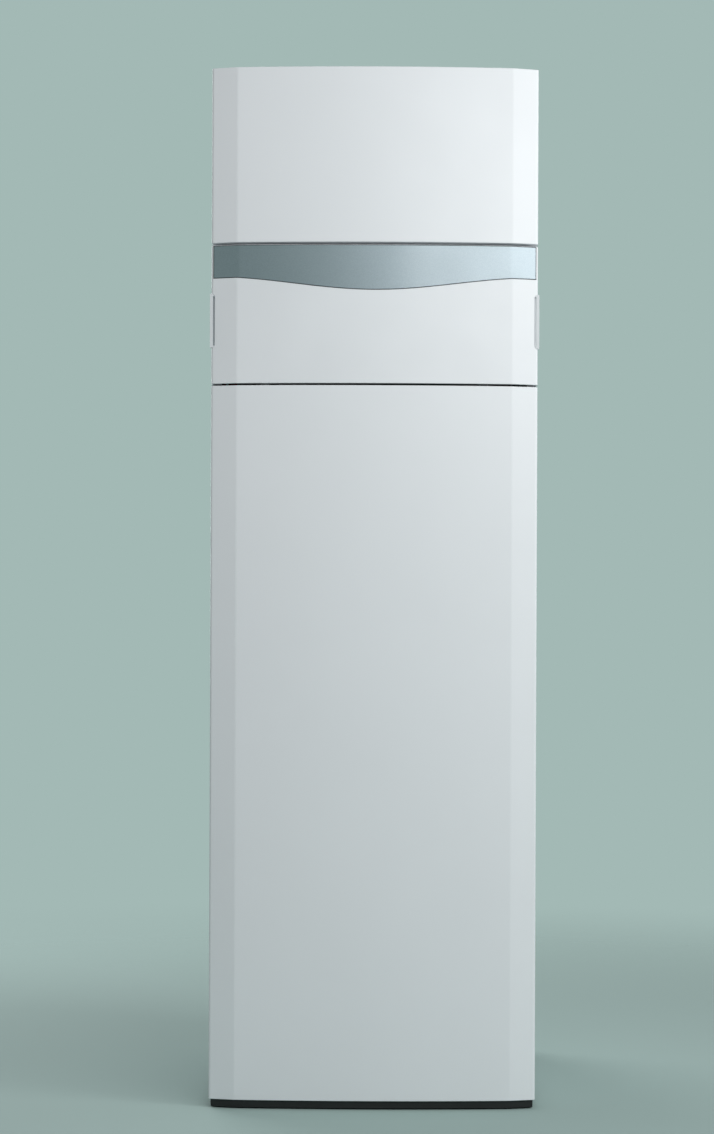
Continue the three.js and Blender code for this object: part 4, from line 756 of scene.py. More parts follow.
class BOILER_OT_rear_panel(bpy.types.Operator):
    """Build the galvanised rear panel with its pressed fields and its screws"""
    bl_idname = "boiler.rear_panel"
    bl_label = "Rear Panel"

    def execute(self, context):
        sizes = context.scene.boiler_sizes
        node = "rear_panel"
        start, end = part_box(node)
        screw_strip = 22 * MM
        inner_x = end.x - screw_strip
        screw_x = end.x - screw_strip / 2
        first, last = start.z + 50 * MM, end.z - 20 * MM
        tall = (last - first) / 3  # three fields, one above another, on each side of the middle
        screw_zs = [first + (i + 0.5) * tall / 3 for i in range(9)]
        rows = [start.z, end.z] + [first + i * tall for i in range(4)]
        rows += [z + side * screw_strip / 2 for z in screw_zs for side in (-1, 1)]
        bm = bmesh.new()
        add_grid(bm, [start.x, -inner_x, 0, inner_x, end.x], sorted(rows), end.y)

        dimples = [Vector((side * screw_x, end.y, z)) for side in (-1, 1) for z in screw_zs]
        half_dimple = (screw_strip / 2, screw_strip / 2)
        for place in dimples:
            press_field(bm, place, half_dimple, 4 * MM, 5.2 * MM, 1 * MM, 1.7 * MM)
        half_field = (inner_x / 2, tall / 2)
        for side in (-1, 1):
            for i in range(3):
                centre = Vector((side * inner_x / 2, end.y, first + (i + 0.5) * tall))
                press_field(bm, centre, half_field, 26 * MM, 30 * MM, 9 * MM, sizes.field_depth)
        fold_round(bm, lambda p, edge: abs(p.x) < inner_x - 20 * MM, 2 * MM, 2, least=8)
        sheet = add_piece("rear_panel_sheet", bm, node, replaced=[node])
        add_wall(sheet, 1.2 * MM)
        even_shading(sheet)

        seats = [place - 1.75 * MM * Y for place in dimples]
        add_screws("rear_panel_screws", node, seats, Y, 8 * MM, 1.6)
        return {"FINISHED"}


def add_grid(bm, xs, zs, y):
    """A flat sheet of cells between given lines, its front toward +Y."""
    bmesh.ops.create_grid(bm, x_segments=len(xs) - 1, y_segments=len(zs) - 1, size=0.5)
    for vertex in bm.verts:
        column = round((vertex.co.x + 0.5) * (len(xs) - 1))
        row = round((vertex.co.y + 0.5) * (len(zs) - 1))
        vertex.co = (xs[column], y, zs[row])
    bm.normal_update()
    bm.faces.ensure_lookup_table()
    if bm.faces[0].normal.y < 0:
        bmesh.ops.reverse_faces(bm, faces=bm.faces)


def press_field(bm, centre, half, margin, corner, slope, depth):
    """Turns the cells round a centre into one round-cornered field, pressed inward with a sloping edge."""
    cells = [
        face for face in bm.faces
        if abs(face.calc_center_bounds().x - centre.x) < half[0]
        and abs(face.calc_center_bounds().z - centre.z) < half[1]
    ]
    if len(cells) > 1:
        cells = bmesh.ops.dissolve_faces(bm, faces=cells, use_verts=False)["region"]
    bmesh.ops.inset_individual(bm, faces=cells, thickness=margin, depth=0)
    corners = [
        vertex for vertex in cells[0].verts
        if abs(abs(vertex.co.x - centre.x) - half[0] + margin) < 0.02 * MM
        and abs(abs(vertex.co.z - centre.z) - half[1] + margin) < 0.02 * MM
    ]
    bevel(bm, corners, corner, 5, "VERTICES")
    field = max(
        (face for face in bm.faces if (face.calc_center_bounds() - centre).length < 1 * MM),
        key=lambda face: face.calc_area())
    bmesh.ops.inset_individual(bm, faces=[field], thickness=slope, depth=-depth)


class BOILER_OT_base(bpy.types.Operator):
    """Build the plinth, the levelling feet and the panel screws"""
    bl_idname = "boiler.base"
    bl_label = "Plinth and Feet"

    def execute(self, context):
        node = "base_frame"
        bottom = low(node).z

        def on_fold(p, edge):
            return near(p.z, bottom)

        dress_sheet("plinth_sheet", whole_copy(node), node, on_fold, 0.5 * MM, 2)

        pad = [(0, 1.2), (6, 1.2), (7, 0), (17.5, 0), (19, 0.7), (21.2, 3), (21.2, 3.8), (19, 9), (5, 9.2)]
        thread = [
            (radius, 9.4 + turn * 2.2 + rise)
            for turn in range(24) for radius, rise in ((4.95, 0), (4.95, 0.5), (4.35, 1.1), (4.35, 1.6))
        ]
        tip = [(4.3, 61.2), (3.6, 62), (0, 62)]
        foot = pad + thread + tip
        for node in ("foot_front_left", "foot_front_right", "foot_rear_left", "foot_rear_right"):
            turned_piece(f"{node}_turned", foot, at_height(node, 0), node, steps=44, replaced=[node])

        screw = [
            (0, -14), (1.4, -14), (2.4, -12), (2.4, 0.3), (4.4, 0.3), (4.4, 1.4), (3.9, 2.5), (2.6, 3),
            (1.1, 3), (0.8, 1.6), (0, 1.4),
        ]
        for node in ("panel_screw_left", "panel_screw_right"):
            seat = at_height(node, high(node).z - 3 * MM)
            turned_piece(f"{node}_turned", screw, seat, node, steps=32, replaced=[node])
        return {"FINISHED"}


class BOILER_OT_flap(bpy.types.Operator):
    """Build the fold-down flap with its latch bars, ribs and hinge"""
    bl_idname = "boiler.flap"
    bl_label = "Flap"

    def execute(self, context):
        sizes = context.scene.boiler_sizes
        dress_front("flap_shell_moulding", "flap_shell", sizes)
        self.build_ribs("flap_shell", sizes.rib_depth)
        for side in ("left", "right"):
            grip = f"grip_{side}"
            moulding = add_piece(f"{grip}_moulding", whole_copy(grip), grip, replaced=[grip])
            round_off(moulding, sizes.moulded_edge)
            self.build_arm(f"hinge_arm_{side}")

        node = "flap_hinge_rod"
        left = low(node).x
        length = (high(node).x - left) / MM
        rod = [(0, 0), (2, 0), (2.4, 0.5), (2.4, length - 0.5), (2, length), (0, length)]
        centre = middle(node)
        centre.x = left
        turned_piece("flap_hinge_rod_turned", rod, centre, node, axis=X, steps=32, replaced=[node])
        return {"FINISHED"}

    def build_ribs(self, node, depth):
        """Three ribs that follow the bulge, crossed by four upright ones, all rooted in the flap's wall."""
        bottom, top = low(node).z, high(node).z
        wall, rooted, half_rib = 2.5 * MM, 0.2 * MM, 0.8 * MM
        lowest, highest = bottom + 14 * MM, top - wall - 2 * MM
        bm = bmesh.new()
        for rise in (26, 96, 166):
            rib = bmesh.new()
            add_front_arc(rib, bottom + rise * MM, wall - rooted, 32)
            add_strip(rib, (0, depth, 0))
            thicken(rib, rib.faces, (0, 0, 2 * half_rib))
            bmesh.ops.recalc_face_normals(rib, faces=rib.faces)
            merge_into(bm, rib)
        for x in (-180 * MM, -60 * MM, 60 * MM, 180 * MM):
            y = front_y(x) + wall - rooted
            add_block(bm, (x - half_rib, y, lowest), (x + half_rib, y + depth, highest))
        add_piece("flap_ribs", bm, node, welded=True)

    def build_arm(self, node):
        """A hinge arm: an eye on the rod, a goose-necked plate and a tab out to the flap's side."""
        start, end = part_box(node)
        hinge = frame_joint("flap_hinge")
        inner, outer = sorted((start.x, end.x), key=abs)
        width, bore, soft = 4, 3.2, 0.4
        half, neck, clear, tab_length = 3.5 * MM, 7 * MM, 4 * MM, 15 * MM
        reach = math.copysign(width * MM, outer)
        eye = (hinge.z - start.z) / MM
        bm = bmesh.new()
        ring = [
            (bore, 0), (eye - soft, 0), (eye, soft), (eye, width - soft), (eye - soft, width), (bore, width),
            (bore, 0),
        ]
        add_turned(bm, ring, Vector((min(inner, inner + reach), hinge.y, hinge.z)), X, 40)
        root_y, tab_y = hinge.y + 4.4 * MM, hinge.y + clear
        outline = [
            (root_y, hinge.z - half), (end.y, hinge.z - half), (end.y, end.z), (tab_y, end.z),
            (tab_y, end.z - neck), (end.y - neck, end.z - neck), (end.y - neck, hinge.z + half),
            (root_y, hinge.z + half),
        ]
        plate = add_plate(bm, [Vector((inner, y, z)) for y, z in outline], Vector((reach, 0, 0)))
        left, right = sorted((inner + reach / 2, outer))
        tab = add_block(bm, (left, tab_y, end.z - width * MM), (right, tab_y + tab_length, end.z))
        edges = {edge for vertex in plate + tab for edge in vertex.link_edges}
        sharp = [edge for edge in edges if edge.calc_face_angle(0) > 0.8]
        bevel(bm, sharp, soft * MM, 2)
        add_piece(f"{node}_plate", bm, node, replaced=[node], welded=True)


class BOILER_OT_trim_band(bpy.types.Operator):
    """Build the silver band across the flap, its lower edge sagging to the middle"""
    bl_idname = "boiler.trim_band"
    bl_label = "Trim Band"

    def execute(self, context):
        steps = context.scene.boiler_sizes.band_steps
        node = "flap_band"
        # Painted shadow: a dark strip, 1.1 mm wider than the band on every side, draws the shadow gap round
        # the inlaid band.
        strip = band_strip(node, steps, 0.35 * MM, 1.1 * MM)
        add_wall(add_piece("flap_band_painted_shadow", strip, node, "dark_abs"), 1 * MM)
        strip = band_strip(node, steps, 0.6 * MM, 0)
        band = add_piece("flap_band_lacquered", strip, node, replaced=[node])
        add_wall(band, 1.5 * MM)
        round_off(band, 0.35 * MM)
        return {"FINISHED"}


def band_strip(node, steps, proud, grow):
    """The band as a sheet that stands proud of the front, grown past its outline on every side."""
    end_height, sag = 57.3 * MM, 22.2 * MM
    bm = bmesh.new()
    arc = add_front_arc(bm, high(node).z - end_height - grow, -proud, steps)
    end = high(node).x + grow
    for tip, side in ((arc[0], -1), (arc[-1], 1)):
        drawn = bmesh.ops.extrude_vert_indiv(bm, verts=[tip])["verts"][0]
        drawn.co.x = side * end
        drawn.co.y = front_y(end) - proud
    base = list(bm.verts)
    add_strip(bm, (0, 0, end_height + 2 * grow))
    for vertex in base:
        across = min(abs(vertex.co.x) / BEND_X, 1)
        swing = math.sin(math.pi / 2 * (1 - across))
        vertex.co.z -= sag * (swing + swing**2) / 2
    bmesh.ops.recalc_face_normals(bm, faces=bm.faces)
    if sum(face.normal.y * face.calc_area() for face in bm.faces) > 0:
        bmesh.ops.reverse_faces(bm, faces=bm.faces)
    return bm


class BOILER_OT_controls(bpy.types.Operator):
    """Build the fascia with its display, keys, rocker and gauge"""
    bl_idname = "boiler.controls"
    bl_label = "Controls"

    def execute(self, context):
        front = low("control_fascia").y
        self.build_fascia(front)
        self.build_display(front)
        self.build_keys(front)
        self.build_gauge(face_centre("gauge_body", front))
        self.build_switch()
        self.build_signs(front)
        return {"FINISHED"}

    def build_fascia(self, front):
        """The moulded front with its openings for the window, the keys, the gauge and the rocker."""
        node = "control_fascia"
        bm = block(*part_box(node))
        rims = [edge for edge in bm.edges if all(near(v.co.y, front) for v in edge.verts)]
        sides = [edge for edge in bm.edges if not near(edge.verts[0].co.y, edge.verts[1].co.y)]
        corner, wall = 2.2 * MM, 2.8 * MM
        bevel(bm, rims + sides, corner, 4)
        backs = [face for face in bm.faces if face.normal.y > 0.9]
        bmesh.ops.delete(bm, geom=backs, context="FACES_ONLY")
        fascia = add_piece("control_fascia_moulding", bm, node, replaced=[node])
        add_wall(fascia, wall)

        cut, slack, rocker_slack = 12 * MM, 0.25 * MM, 0.4 * MM
        key_hole, gauge_hole, rocker_reach = 8.25 * MM, 27.3 * MM, 13.4 * MM
        window_low, window_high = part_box("display_window")
        room = Vector((slack, cut, slack))
        cutters = [block(window_low - room, window_high + room)]
        cutters += [cylinder(face_centre(key, front), key_hole, 2 * cut, Y) for key in KEYS]
        cutters.append(cylinder(face_centre("gauge_body", front), gauge_hole, 2 * cut, Y))
        switch_low, switch_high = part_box("power_switch")
        rocker = Vector(((switch_low.x + switch_high.x) / 2, front, frame_joint("power_rocker").z))
        room = Vector(((switch_high.x - switch_low.x) / 2 + rocker_slack, cut, rocker_reach))
        cutters.append(block(rocker - room, rocker + room))
        cut_holes(fascia, cutters)
        round_off(fascia, 0.3 * MM, 60)

    def build_display(self, front):
        """The acrylic window, the screen seen in it, and the two lines across the fascia."""
        node = "display_window"
        start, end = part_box(node)
        window = add_piece("display_window_acrylic", block(start, end), node, replaced=[node])
        round_off(window, 0.4 * MM)
        rim_x, rim_z = 11 * MM, 9 * MM
        near_y, far_y = start.y - 0.12 * MM, start.y + 0.28 * MM
        screen = block((start.x + rim_x, near_y, start.z + rim_z), (end.x - rim_x, far_y, end.z - rim_z))
        add_piece("display_screen", screen, node, "screen")

        reach = high("control_fascia").x - 14 * MM
        above, below, thickness = 13 * MM, 61 * MM, 1.2 * MM
        bm = bmesh.new()
        for z in (end.z + above, start.z - below):
            add_block(bm, (-reach, front - 0.15 * MM, z), (reach, front + 0.5 * MM, z + thickness))
        add_piece("fascia_lines", bm, "control_fascia", "silver_trim")

    def build_keys(self, front):
        """The round keys and what is printed on them: arrows, a minus, a plus and a ring."""
        cap = [
            (0, 5), (9.6, 5), (9.6, 3.3), (7.9, 3.3), (7.9, -1.7), (7.7, -2.2), (7.2, -2.5), (6.4, -2.45),
            (4, -2.2), (2, -2.1), (0, -2.05),
        ]
        for key in KEYS:
            turned_piece(f"{key}_cap", cap, face_centre(key, front), key, axis=Y, steps=48, replaced=[key])

        print_front, print_back = -2.4, -1.9
        bars = {
            "key_minus": [(-3, -0.45, 3, 0.45)],
            "key_plus": [(-3, -0.45, 3, 0.45), (-0.45, -3, 0.45, 3)],
        }
        arrows = {"key_left": math.pi, "key_right": 0}
        for key in KEYS:
            centre = face_centre(key, front)
            bm = bmesh.new()
            add_bars(bm, centre, bars.get(key, []), print_front, print_back)
            if key == "key_reset":
                add_turned(bm, ring_profile(2.2, 2.9, print_front, print_back), centre, Y, 32)
            if key in arrows:
                place = centre + (print_front + print_back) / 2 * MM * Y
                stand = Matrix.Translation(place) @ Matrix.Rotation(arrows[key], 4, "Y")
                stand = stand @ Matrix.Rotation(math.pi / 2, 4, "X") @ Matrix.Rotation(-math.pi / 2, 4, "Z")
                add_prism(bm, 3, 3 * MM, (print_back - print_front) * MM, stand)
            add_piece(f"{key}_mark", bm, key, "dark_print", welded=True)

    def build_gauge(self, face):
        """The pressure gauge: its body, dial, lens, scale and needle."""
        node = "gauge_body"
        body = [
            (0, 8.1), (24, 8.1), (24.2, -0.7), (26.8, -0.7), (26.8, -2.8), (27.4, -3), (30, -3), (30.7, -2.6),
            (31, -1.8), (31, -0.3), (27, -0.3), (27, 51), (26, 52), (0, 52),
        ]
        turned_piece("gauge_body_moulding", body, face, node, axis=Y, replaced=[node])
        dial = [(0, 7.6), (23.9, 7.6), (23.9, 8.2), (0, 8.2)]
        turned_piece("gauge_dial", dial, face, node, axis=Y, finish="white_print")
        lens = [(0, -3), (26, -3), (26.4, -2.7), (26.4, -1.1), (26, -1), (0, -1)]
        turned_piece("gauge_lens_acrylic", lens, face, "gauge_lens", axis=Y, replaced=["gauge_lens"])

        zero, sweep = math.radians(225), math.radians(270)
        rim, numerals, print_y = 21.6, 14, 7.55
        bm = bmesh.new()
        for i in range(41):
            length = 4.2 if i % 10 == 0 else 2.8 if i % 5 == 0 else 1.8
            width = 0.35 if i % 5 == 0 else 0.18
            tick = add_block(bm, mm(rim - length, 7.35, -width), mm(rim, 7.7, width))
            turn = Matrix.Rotation(i / 40 * sweep - zero, 4, "Y")
            bmesh.ops.transform(bm, matrix=Matrix.Translation(face) @ turn, verts=tick)
        add_piece("gauge_ticks", bm, node, "dark_print")
        for number in range(5):
            angle = zero - number / 4 * sweep
            place = face + mm(numerals * math.cos(angle), print_y, numerals * math.sin(angle))
            add_print(f"gauge_numeral_{number}", str(number), place, 4.2 * MM, node)
        add_print("gauge_unit", "bar", face + mm(0, print_y, -10), 3.4 * MM, node)
        self.build_needle(face, zero)

    def build_needle(self, face, zero):
        """The needle: a hub with a tapered blade and a short tail, at the dial's zero."""
        node = "gauge_needle"
        start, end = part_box(node)
        hub = Vector((face.x, start.y, face.z))
        thick = (end.y - start.y) / MM
        bm = bmesh.new()
        ring = [(1.8, 0), (1.8, thick), (3.85, thick), (4, thick - 0.15), (4, 0.15), (3.85, 0), (1.8, 0)]
        add_turned(bm, ring, hub, Y, 40)
        reach = (hub.xz - start.xz).length / MM
        blade = [(3, -0.8), (reach - 0.4, -0.45), (reach, 0), (reach - 0.4, 0.45), (3, 0.8)]
        tail = [(-3, 1), (-8.6, 1), (-9, 0.6), (-9, -0.6), (-8.6, -1), (-3, -1)]
        turn = Matrix.Translation(hub) @ Matrix.Rotation(-zero, 4, "Y")
        for outline in (blade, tail):
            places = [turn @ mm(along, 0, across) for along, across in outline]
            add_plate(bm, places, Vector((0, end.y - start.y, 0)))
        add_piece("gauge_needle_blade", bm, node, replaced=[node], welded=True)

    def build_switch(self):
        """The rocker with O printed on its upper half and I on its lower half."""
        node = "power_switch"
        round_off(add_piece("power_switch_moulding", whole_copy(node), node, replaced=[node]), 0.5 * MM)
        pivot = Matrix.Translation(frame_joint("power_rocker"))
        lean, face_y, away = math.radians(8), -9.7 * MM, 5 * MM
        bm = bmesh.new()
        upper = add_turned(bm, ring_profile(1.5, 2.1, -0.15, 0.4), Vector((0, 0, 0)), Y, 32)
        bmesh.ops.transform(bm, matrix=pivot @ Matrix.Translation((0, face_y, away)), verts=upper)
        lower = add_block(bm, mm(-0.35, -0.15, -2.1), mm(0.35, 0.4, 2.1))
        tilted = pivot @ Matrix.Rotation(-2 * lean, 4, "X") @ Matrix.Translation((0, face_y, -away))
        bmesh.ops.transform(bm, matrix=tilted, verts=lower)
        add_piece("power_switch_marks", bm, node, "dark_print", welded=True)

    def build_signs(self, front):
        """The printed heating and water signs and the status lamp beside the display."""
        node = "control_fascia"
        window = face_centre("display_window", front)
        aside = 92 * MM
        heating = window + Vector((-aside, 0, 18 * MM))
        bars = [(-5.5, -3.6, 5.5, -2.8), (-5.5, 2.8, 5.5, 3.6)]
        bars += [(x - 0.45, -4.6, x + 0.45, 4.6) for x in (-4, -1.33, 1.33, 4)]
        bm = bmesh.new()
        add_bars(bm, heating, bars, -0.15, 0.3)
        add_piece("heating_sign", bm, node, "white_print")

        drop_radius = 3.4 * MM
        bm = bmesh.new()
        bmesh.ops.create_circle(bm, cap_ends=True, segments=36, radius=drop_radius)
        for vertex in bm.verts:
            rise = max(vertex.co.y / drop_radius, 0)
            vertex.co.x *= 1 - 0.75 * rise
            vertex.co.y *= 1 + rise
        thicken(bm, bm.faces, (0, 0, 0.45 * MM))
        water = heating + mm(0, 0.3, -32)
        bmesh.ops.transform(bm, matrix=upright(water), verts=bm.verts)
        add_piece("water_sign", bm, node, "white_print", welded=True)

        lens = [(0, 1.5), (2.9, 1.5), (2.9, -0.2), (2.5, -1), (1.6, -1.5), (0, -1.7)]
        lamp = window + aside * X
        turned_piece("status_lamp", lens, lamp, node, axis=Y, steps=32, finish="lamp_lens")
        bezel = [(2.9, 0.3), (4.2, 0.3), (4.2, -0.3), (3.8, -0.7), (2.9, -0.7), (2.9, 0.3)]
        turned_piece("status_lamp_bezel", bezel, lamp, node, axis=Y, steps=32, finish="pale_abs")


def add_print(name, text, place, height, node):
    """Printed characters, made a mesh before they are put in their place."""
    curve = bpy.data.curves.new(name, "FONT")
    curve.body = text
    curve.size = height
    curve.extrude = 0.05 * MM
    curve.align_x = "CENTER"
    curve.align_y = "CENTER"
    maker = add_object(name + "_text", curve)
    mesh = evaluated_mesh(maker)
    bpy.data.objects.remove(maker)
    bm = bmesh.new()
    bm.from_mesh(mesh)
    bpy.data.meshes.remove(mesh)
    bmesh.ops.transform(bm, matrix=upright(place), verts=bm.verts)
    add_piece(name, bm, node, "dark_print", welded=True)


class BOILER_OT_flue(bpy.types.Operator):
    """Build the coaxial flue collar"""
    bl_idname = "boiler.flue"
    bl_label = "Flue Collar"

    def execute(self, context):
        sizes = context.scene.boiler_sizes
        node = "flue_collar"
        base = at_height(node, CASE_TOP + 0.3 * MM)
        air_pipe = [
            (46, 0), (73.5, 0), (75, 0.8), (75, 2.2), (74, 3), (53, 3), (51, 3.8), (50, 5.5), (50, 58),
            (50.9, 60), (51.2, 63), (50.9, 66), (50, 68), (50, 94), (49.4, 95), (46.6, 95), (46, 94), (46, 0),
        ]
        turned_piece("flue_air_pipe", air_pipe, base, node, steps=sizes.round_steps, replaced=[node])
        gas_pipe = [
            (27, -24), (30, -24), (30, 56), (30.8, 58), (31, 61), (30.8, 64), (30, 66), (30, 94.4),
            (29.4, 95), (27.6, 95), (27, 94.4), (27, -24),
        ]
        turned_piece("flue_gas_pipe", gas_pipe, base, node, steps=sizes.round_steps)

        between_pipes = 19
        seal = [(26.8, 84), (28, 83), (28, 90), (26.8, 89), (26, 88), (25.8, 86.5), (26, 85), (26.8, 84)]
        bm = bmesh.new()
        for out in (0, between_pipes):
            add_turned(bm, [(radius + out, up) for radius, up in seal], base, Z, 72)
        add_piece("flue_seals", bm, node, "foot_rubber", welded=True)

        bm = bmesh.new()
        for i in range(3):
            web = add_block(bm, mm(28.5, -2, 14), mm(48, 2, 26))
            turn = Matrix.Rotation(math.radians(90 + 120 * i), 4, "Z")
            bmesh.ops.transform(bm, matrix=Matrix.Translation(base) @ turn, verts=web)
        round_off(add_piece("flue_webs", bm, node), 0.5 * MM, 40)

        turns = [Matrix.Rotation(math.radians(45 + 90 * i), 4, "Z") for i in range(4)]
        places = [base + turn @ mm(64, 0, 3) for turn in turns]
        add_screws("flue_screws", node, places, Z, sizes.screw_head)
        return {"FINISHED"}


def pipe_top(pipe):
    """The middle of a pipe's union, at its top face."""
    top = high(pipe).z
    rim = [v.co for v in NODES[pipe].data.vertices if near(v.co.z, top)]
    return sum(rim, Vector()) / len(rim)


def pipe_route(pipe, radius):
    """The corners of a pipe's run, from its union down to its far end, taken from the node's own box."""
    start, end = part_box(pipe)
    y, z = start.y + radius, start.z + radius
    below_controls = low("control_box").z - 36 * MM
    moves = {
        "gas_pipe": (("z", z), ("y", y), ("x", end.x)),
        "heating_flow_pipe": (("z", z), ("y", start.y)),
        "heating_return_pipe": (("z", z), ("y", y), ("z", low("heating_pump").z - 0.3 * MM)),
    }
    corners = [pipe_top(pipe)]
    for axis, place in moves.get(pipe, (("z", below_controls), ("y", y), ("z", start.z))):
        corner = corners[-1].copy()
        setattr(corner, axis, place)
        corners.append(corner)
    return corners


class BOILER_OT_pipes(bpy.types.Operator):
    """Build the copper pipes and their unions"""
    bl_idname = "boiler.pipes"
    bl_label = "Pipes"

    def execute(self, context):
        for pipe, (radius, bend) in PIPES.items():
            corners = pipe_route(pipe, radius)
            bm = bmesh.new()
            sweep_tube(bm, corners, radius, bend)
            bmesh.ops.recalc_face_normals(bm, faces=bm.faces)
            add_wall(add_piece(f"{pipe}_tube", bm, pipe, replaced=[pipe]), 1.2 * MM)
            self.build_union(pipe, corners[0], radius)
        return {"FINISHED"}

    def build_union(self, pipe, top, radius):
        """A hexagonal brass nut round a pipe's end, with a gasket on its face."""
        nut_radius, nut_height, nut_drop = 15.9 * MM, 10.5 * MM, 6.3 * MM
        stand = Matrix.Translation(top - nut_drop * Z) @ Matrix.Rotation(math.radians(30), 4, "Z")
        bm = bmesh.new()
        add_prism(bm, 6, nut_radius, nut_height, stand)
        rims = [edge for edge in bm.edges if near(edge.verts[0].co.z, edge.verts[1].co.z)]
        bevel(bm, rims, 1.1 * MM, 2)
        nut = add_piece(f"{pipe}_union_nut", bm, pipe, "brass_fitting")
        cut_holes(nut, [cylinder(top, radius + 0.05 * MM, 60 * MM, Z, 48)])
        round_off(nut, 0.3 * MM, 40)
        gasket = ring_profile(radius / MM - 1.2, radius / MM + 3, -1, 0)
        turned_piece(f"{pipe}_gasket", gasket, top, pipe, steps=48, finish="foot_rubber")


def sweep_tube(bm, corners, radius, bend):
    """Draws a ring along straight runs and spins it round each bend."""
    heading = (corners[1] - corners[0]).normalized()
    bmesh.ops.create_circle(bm, segments=40, radius=radius, matrix=facing(corners[0], heading))
    ring = list(bm.edges)
    at = corners[0]
    for corner, beyond in zip(corners[1:], corners[2:] + [None]):
        stop = corner - heading * bend if beyond else corner
        result = bmesh.ops.extrude_edge_only(bm, edges=ring)
        draw_out(bm, result, stop - at)
        ring = [edge for edge in only(bmesh.types.BMEdge, result["geom"]) if edge.is_boundary]
        if beyond:
            following = (beyond - corner).normalized()
            spun = bmesh.ops.spin(
                bm, geom=ring, cent=stop + following * bend, axis=heading.cross(following),
                angle=heading.angle(following), steps=10)
            ring = only(bmesh.types.BMEdge, spun["geom_last"])
            at = corner + following * bend
            heading = following


class BOILER_OT_inner_parts(bpy.types.Operator):
    """Give every part inside the casing its finish"""
    bl_idname = "boiler.inner_parts"
    bl_label = "Inner Parts"

    def execute(self, context):
        for name, node in NODES.items():
            node.data.materials.clear()
            node.data.materials.append(FINISHES[SLOT_OF[name]])
        return {"FINISHED"}


# Each lamp's place, the point that it faces, its width and height in metres, and its power in watts
LAMPS = {
    "Key": ((3.1, -2.0, 2.3), (0, -0.3, 1.3), (1.7, 1.7), 55),
    "Strip": ((1.1, -2.7, 2.2), (0.1, -0.3, 1.4), (2.0, 0.8), 29),
    "Fill": ((-2.6, -3.2, 1.5), (0, -0.3, 0.9), (2.0, 2.0), 3),
    "Rear": ((-1.8, 2.6, 2.2), (0, 0.3, 1.1), (2.6, 2.6), 52),
    "Top": ((0, 1.4, 3.8), (0, 0.3, 1.9), (2.6, 2.6), 12),
}


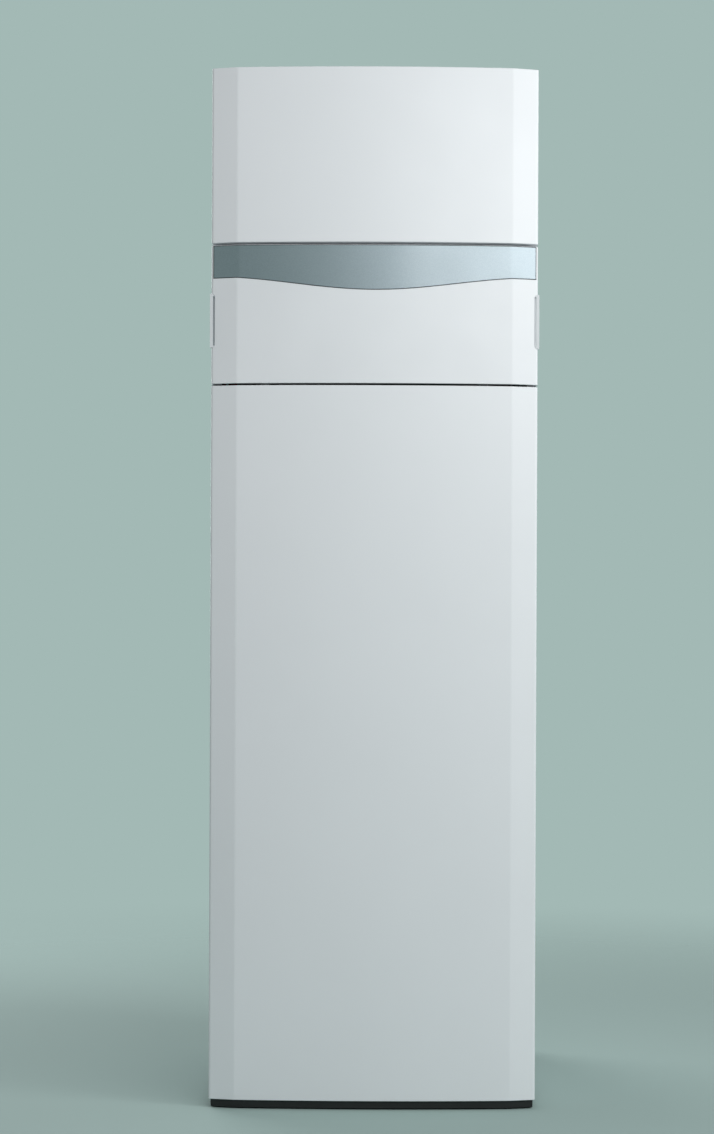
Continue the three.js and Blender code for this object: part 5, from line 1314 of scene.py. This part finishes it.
class BOILER_OT_studio(bpy.types.Operator):
    """Set up the pale floor, the studio lights and the camera"""
    bl_idname = "boiler.studio"
    bl_label = "Studio"

    def execute(self, context):
        scene = context.scene
        backdrop = scene.boiler_colours.backdrop
        self.build_world(scene, backdrop)
        self.build_floor(backdrop)
        for name, (place, target, size, power) in LAMPS.items():
            lamp = bpy.data.lights.new(name, "AREA")
            lamp.shape = "RECTANGLE"
            lamp.size, lamp.size_y = size
            lamp.energy = power
            holder = add_object(name, lamp)
            holder.location = place
            holder.rotation_euler = (Vector(target) - Vector(place)).to_track_quat("-Z", "Y").to_euler()
            holder.visible_camera = False
        self.build_camera(scene)
        scene.view_settings.view_transform = "Standard"
        return {"FINISHED"}

    def build_world(self, scene, backdrop):
        """Soft light on the object, and the plain backdrop for the camera, reflections and clear plastic."""
        world = bpy.data.worlds.new("Studio")
        scene.world = world
        world.use_nodes = True
        tree = world.node_tree
        tree.nodes.clear()
        rays = add_node(tree, "ShaderNodeLightPath").outputs
        shown = rays["Is Camera Ray"]
        for kind in ("Is Glossy Ray", "Is Transmission Ray"):
            either = add_node(tree, "ShaderNodeMath", {"operation": "MAXIMUM"}, {0: shown, 1: rays[kind]})
            shown = either.outputs[0]
        light = add_node(tree, "ShaderNodeBackground", {"Color": linear("#F2F4F6"), "Strength": 0.28})
        view = add_node(tree, "ShaderNodeBackground", {"Color": backdrop, "Strength": 1.0})
        mix = add_node(tree, "ShaderNodeMixShader", links={0: shown, 1: light.outputs[0], 2: view.outputs[0]})
        add_node(tree, "ShaderNodeOutputWorld", links={"Surface": mix.outputs[0]})

    def build_floor(self, backdrop):
        """A round floor that takes the shadow and fades into the backdrop towards its edge."""
        bm = bmesh.new()
        bmesh.ops.create_circle(bm, cap_ends=True, segments=96, radius=4.2)
        floor = add_object("floor", finished_mesh("floor", bm))
        ground = Finish("Pale studio floor", Base_Color=backdrop, Roughness=0.9)
        tree = ground.tree
        distance = add_node(tree, "ShaderNodeVectorMath", {"operation": "LENGTH"}, {0: ground.place})
        span = {"From Min": 0.9, "From Max": 3.6, "interpolation_type": "SMOOTHSTEP"}
        fade = add_node(tree, "ShaderNodeMapRange", span, {"Value": distance.outputs["Value"]})
        clear = add_node(tree, "ShaderNodeBsdfTransparent")
        mix = add_node(tree, "ShaderNodeMixShader", links={
            0: fade.outputs["Result"], 1: ground.shader.outputs["BSDF"], 2: clear.outputs["BSDF"]})
        tree.links.new(mix.outputs[0], ground.output.inputs["Surface"])
        floor.data.materials.append(ground.material)

    def build_camera(self, scene):
        """The photograph's view: from a little to the left, a trace of roll, and a shift that frames it."""
        camera = bpy.data.cameras.new("Camera")
        camera.sensor_width = 36
        camera.lens = 71.56
        camera.shift_y = 0.1005
        camera.clip_start = 0.05
        scene.camera = add_object("Camera", camera)
        scene.camera.location = (-0.0295, -4.426, 0.777)
        scene.camera.rotation_euler = (math.radians(90), -0.0040, 0)


class BOILER_PT_panel(bpy.types.Panel):
    """Lists the boiler's sizes, colours and build steps"""
    bl_idname = "BOILER_PT_panel"
    bl_label = "Gas Condensing Boiler"
    bl_space_type = "VIEW_3D"
    bl_region_type = "UI"
    bl_category = "Boiler"

    def draw(self, context):
        for group in (context.scene.boiler_sizes, context.scene.boiler_colours):
            box = self.layout.box()
            for name in group.__annotations__:
                box.prop(group, name)
        for operator in OPERATORS:
            self.layout.operator(operator.bl_idname)


OPERATORS = (
    BOILER_OT_inner_parts,
    BOILER_OT_front_panels,
    BOILER_OT_side_panels,
    BOILER_OT_top_cover,
    BOILER_OT_rear_panel,
    BOILER_OT_base,
    BOILER_OT_flap,
    BOILER_OT_trim_band,
    BOILER_OT_controls,
    BOILER_OT_flue,
    BOILER_OT_pipes,
    BOILER_OT_studio,
)
CLASSES = (BoilerSizes, BoilerColours, *OPERATORS, BOILER_PT_panel)


def register():
    for cls in CLASSES:
        bpy.utils.register_class(cls)
    bpy.types.Scene.boiler_sizes = PointerProperty(type=BoilerSizes)
    bpy.types.Scene.boiler_colours = PointerProperty(type=BoilerColours)


def unregister():
    del bpy.types.Scene.boiler_sizes
    del bpy.types.Scene.boiler_colours
    for cls in reversed(CLASSES):
        bpy.utils.unregister_class(cls)


def main():
    register()
    make_finishes(bpy.context.scene.boiler_colours)
    for operator in OPERATORS:
        module, name = operator.bl_idname.split(".")
        getattr(getattr(bpy.ops, module), name)()


if __name__ == "__main__":
    main()
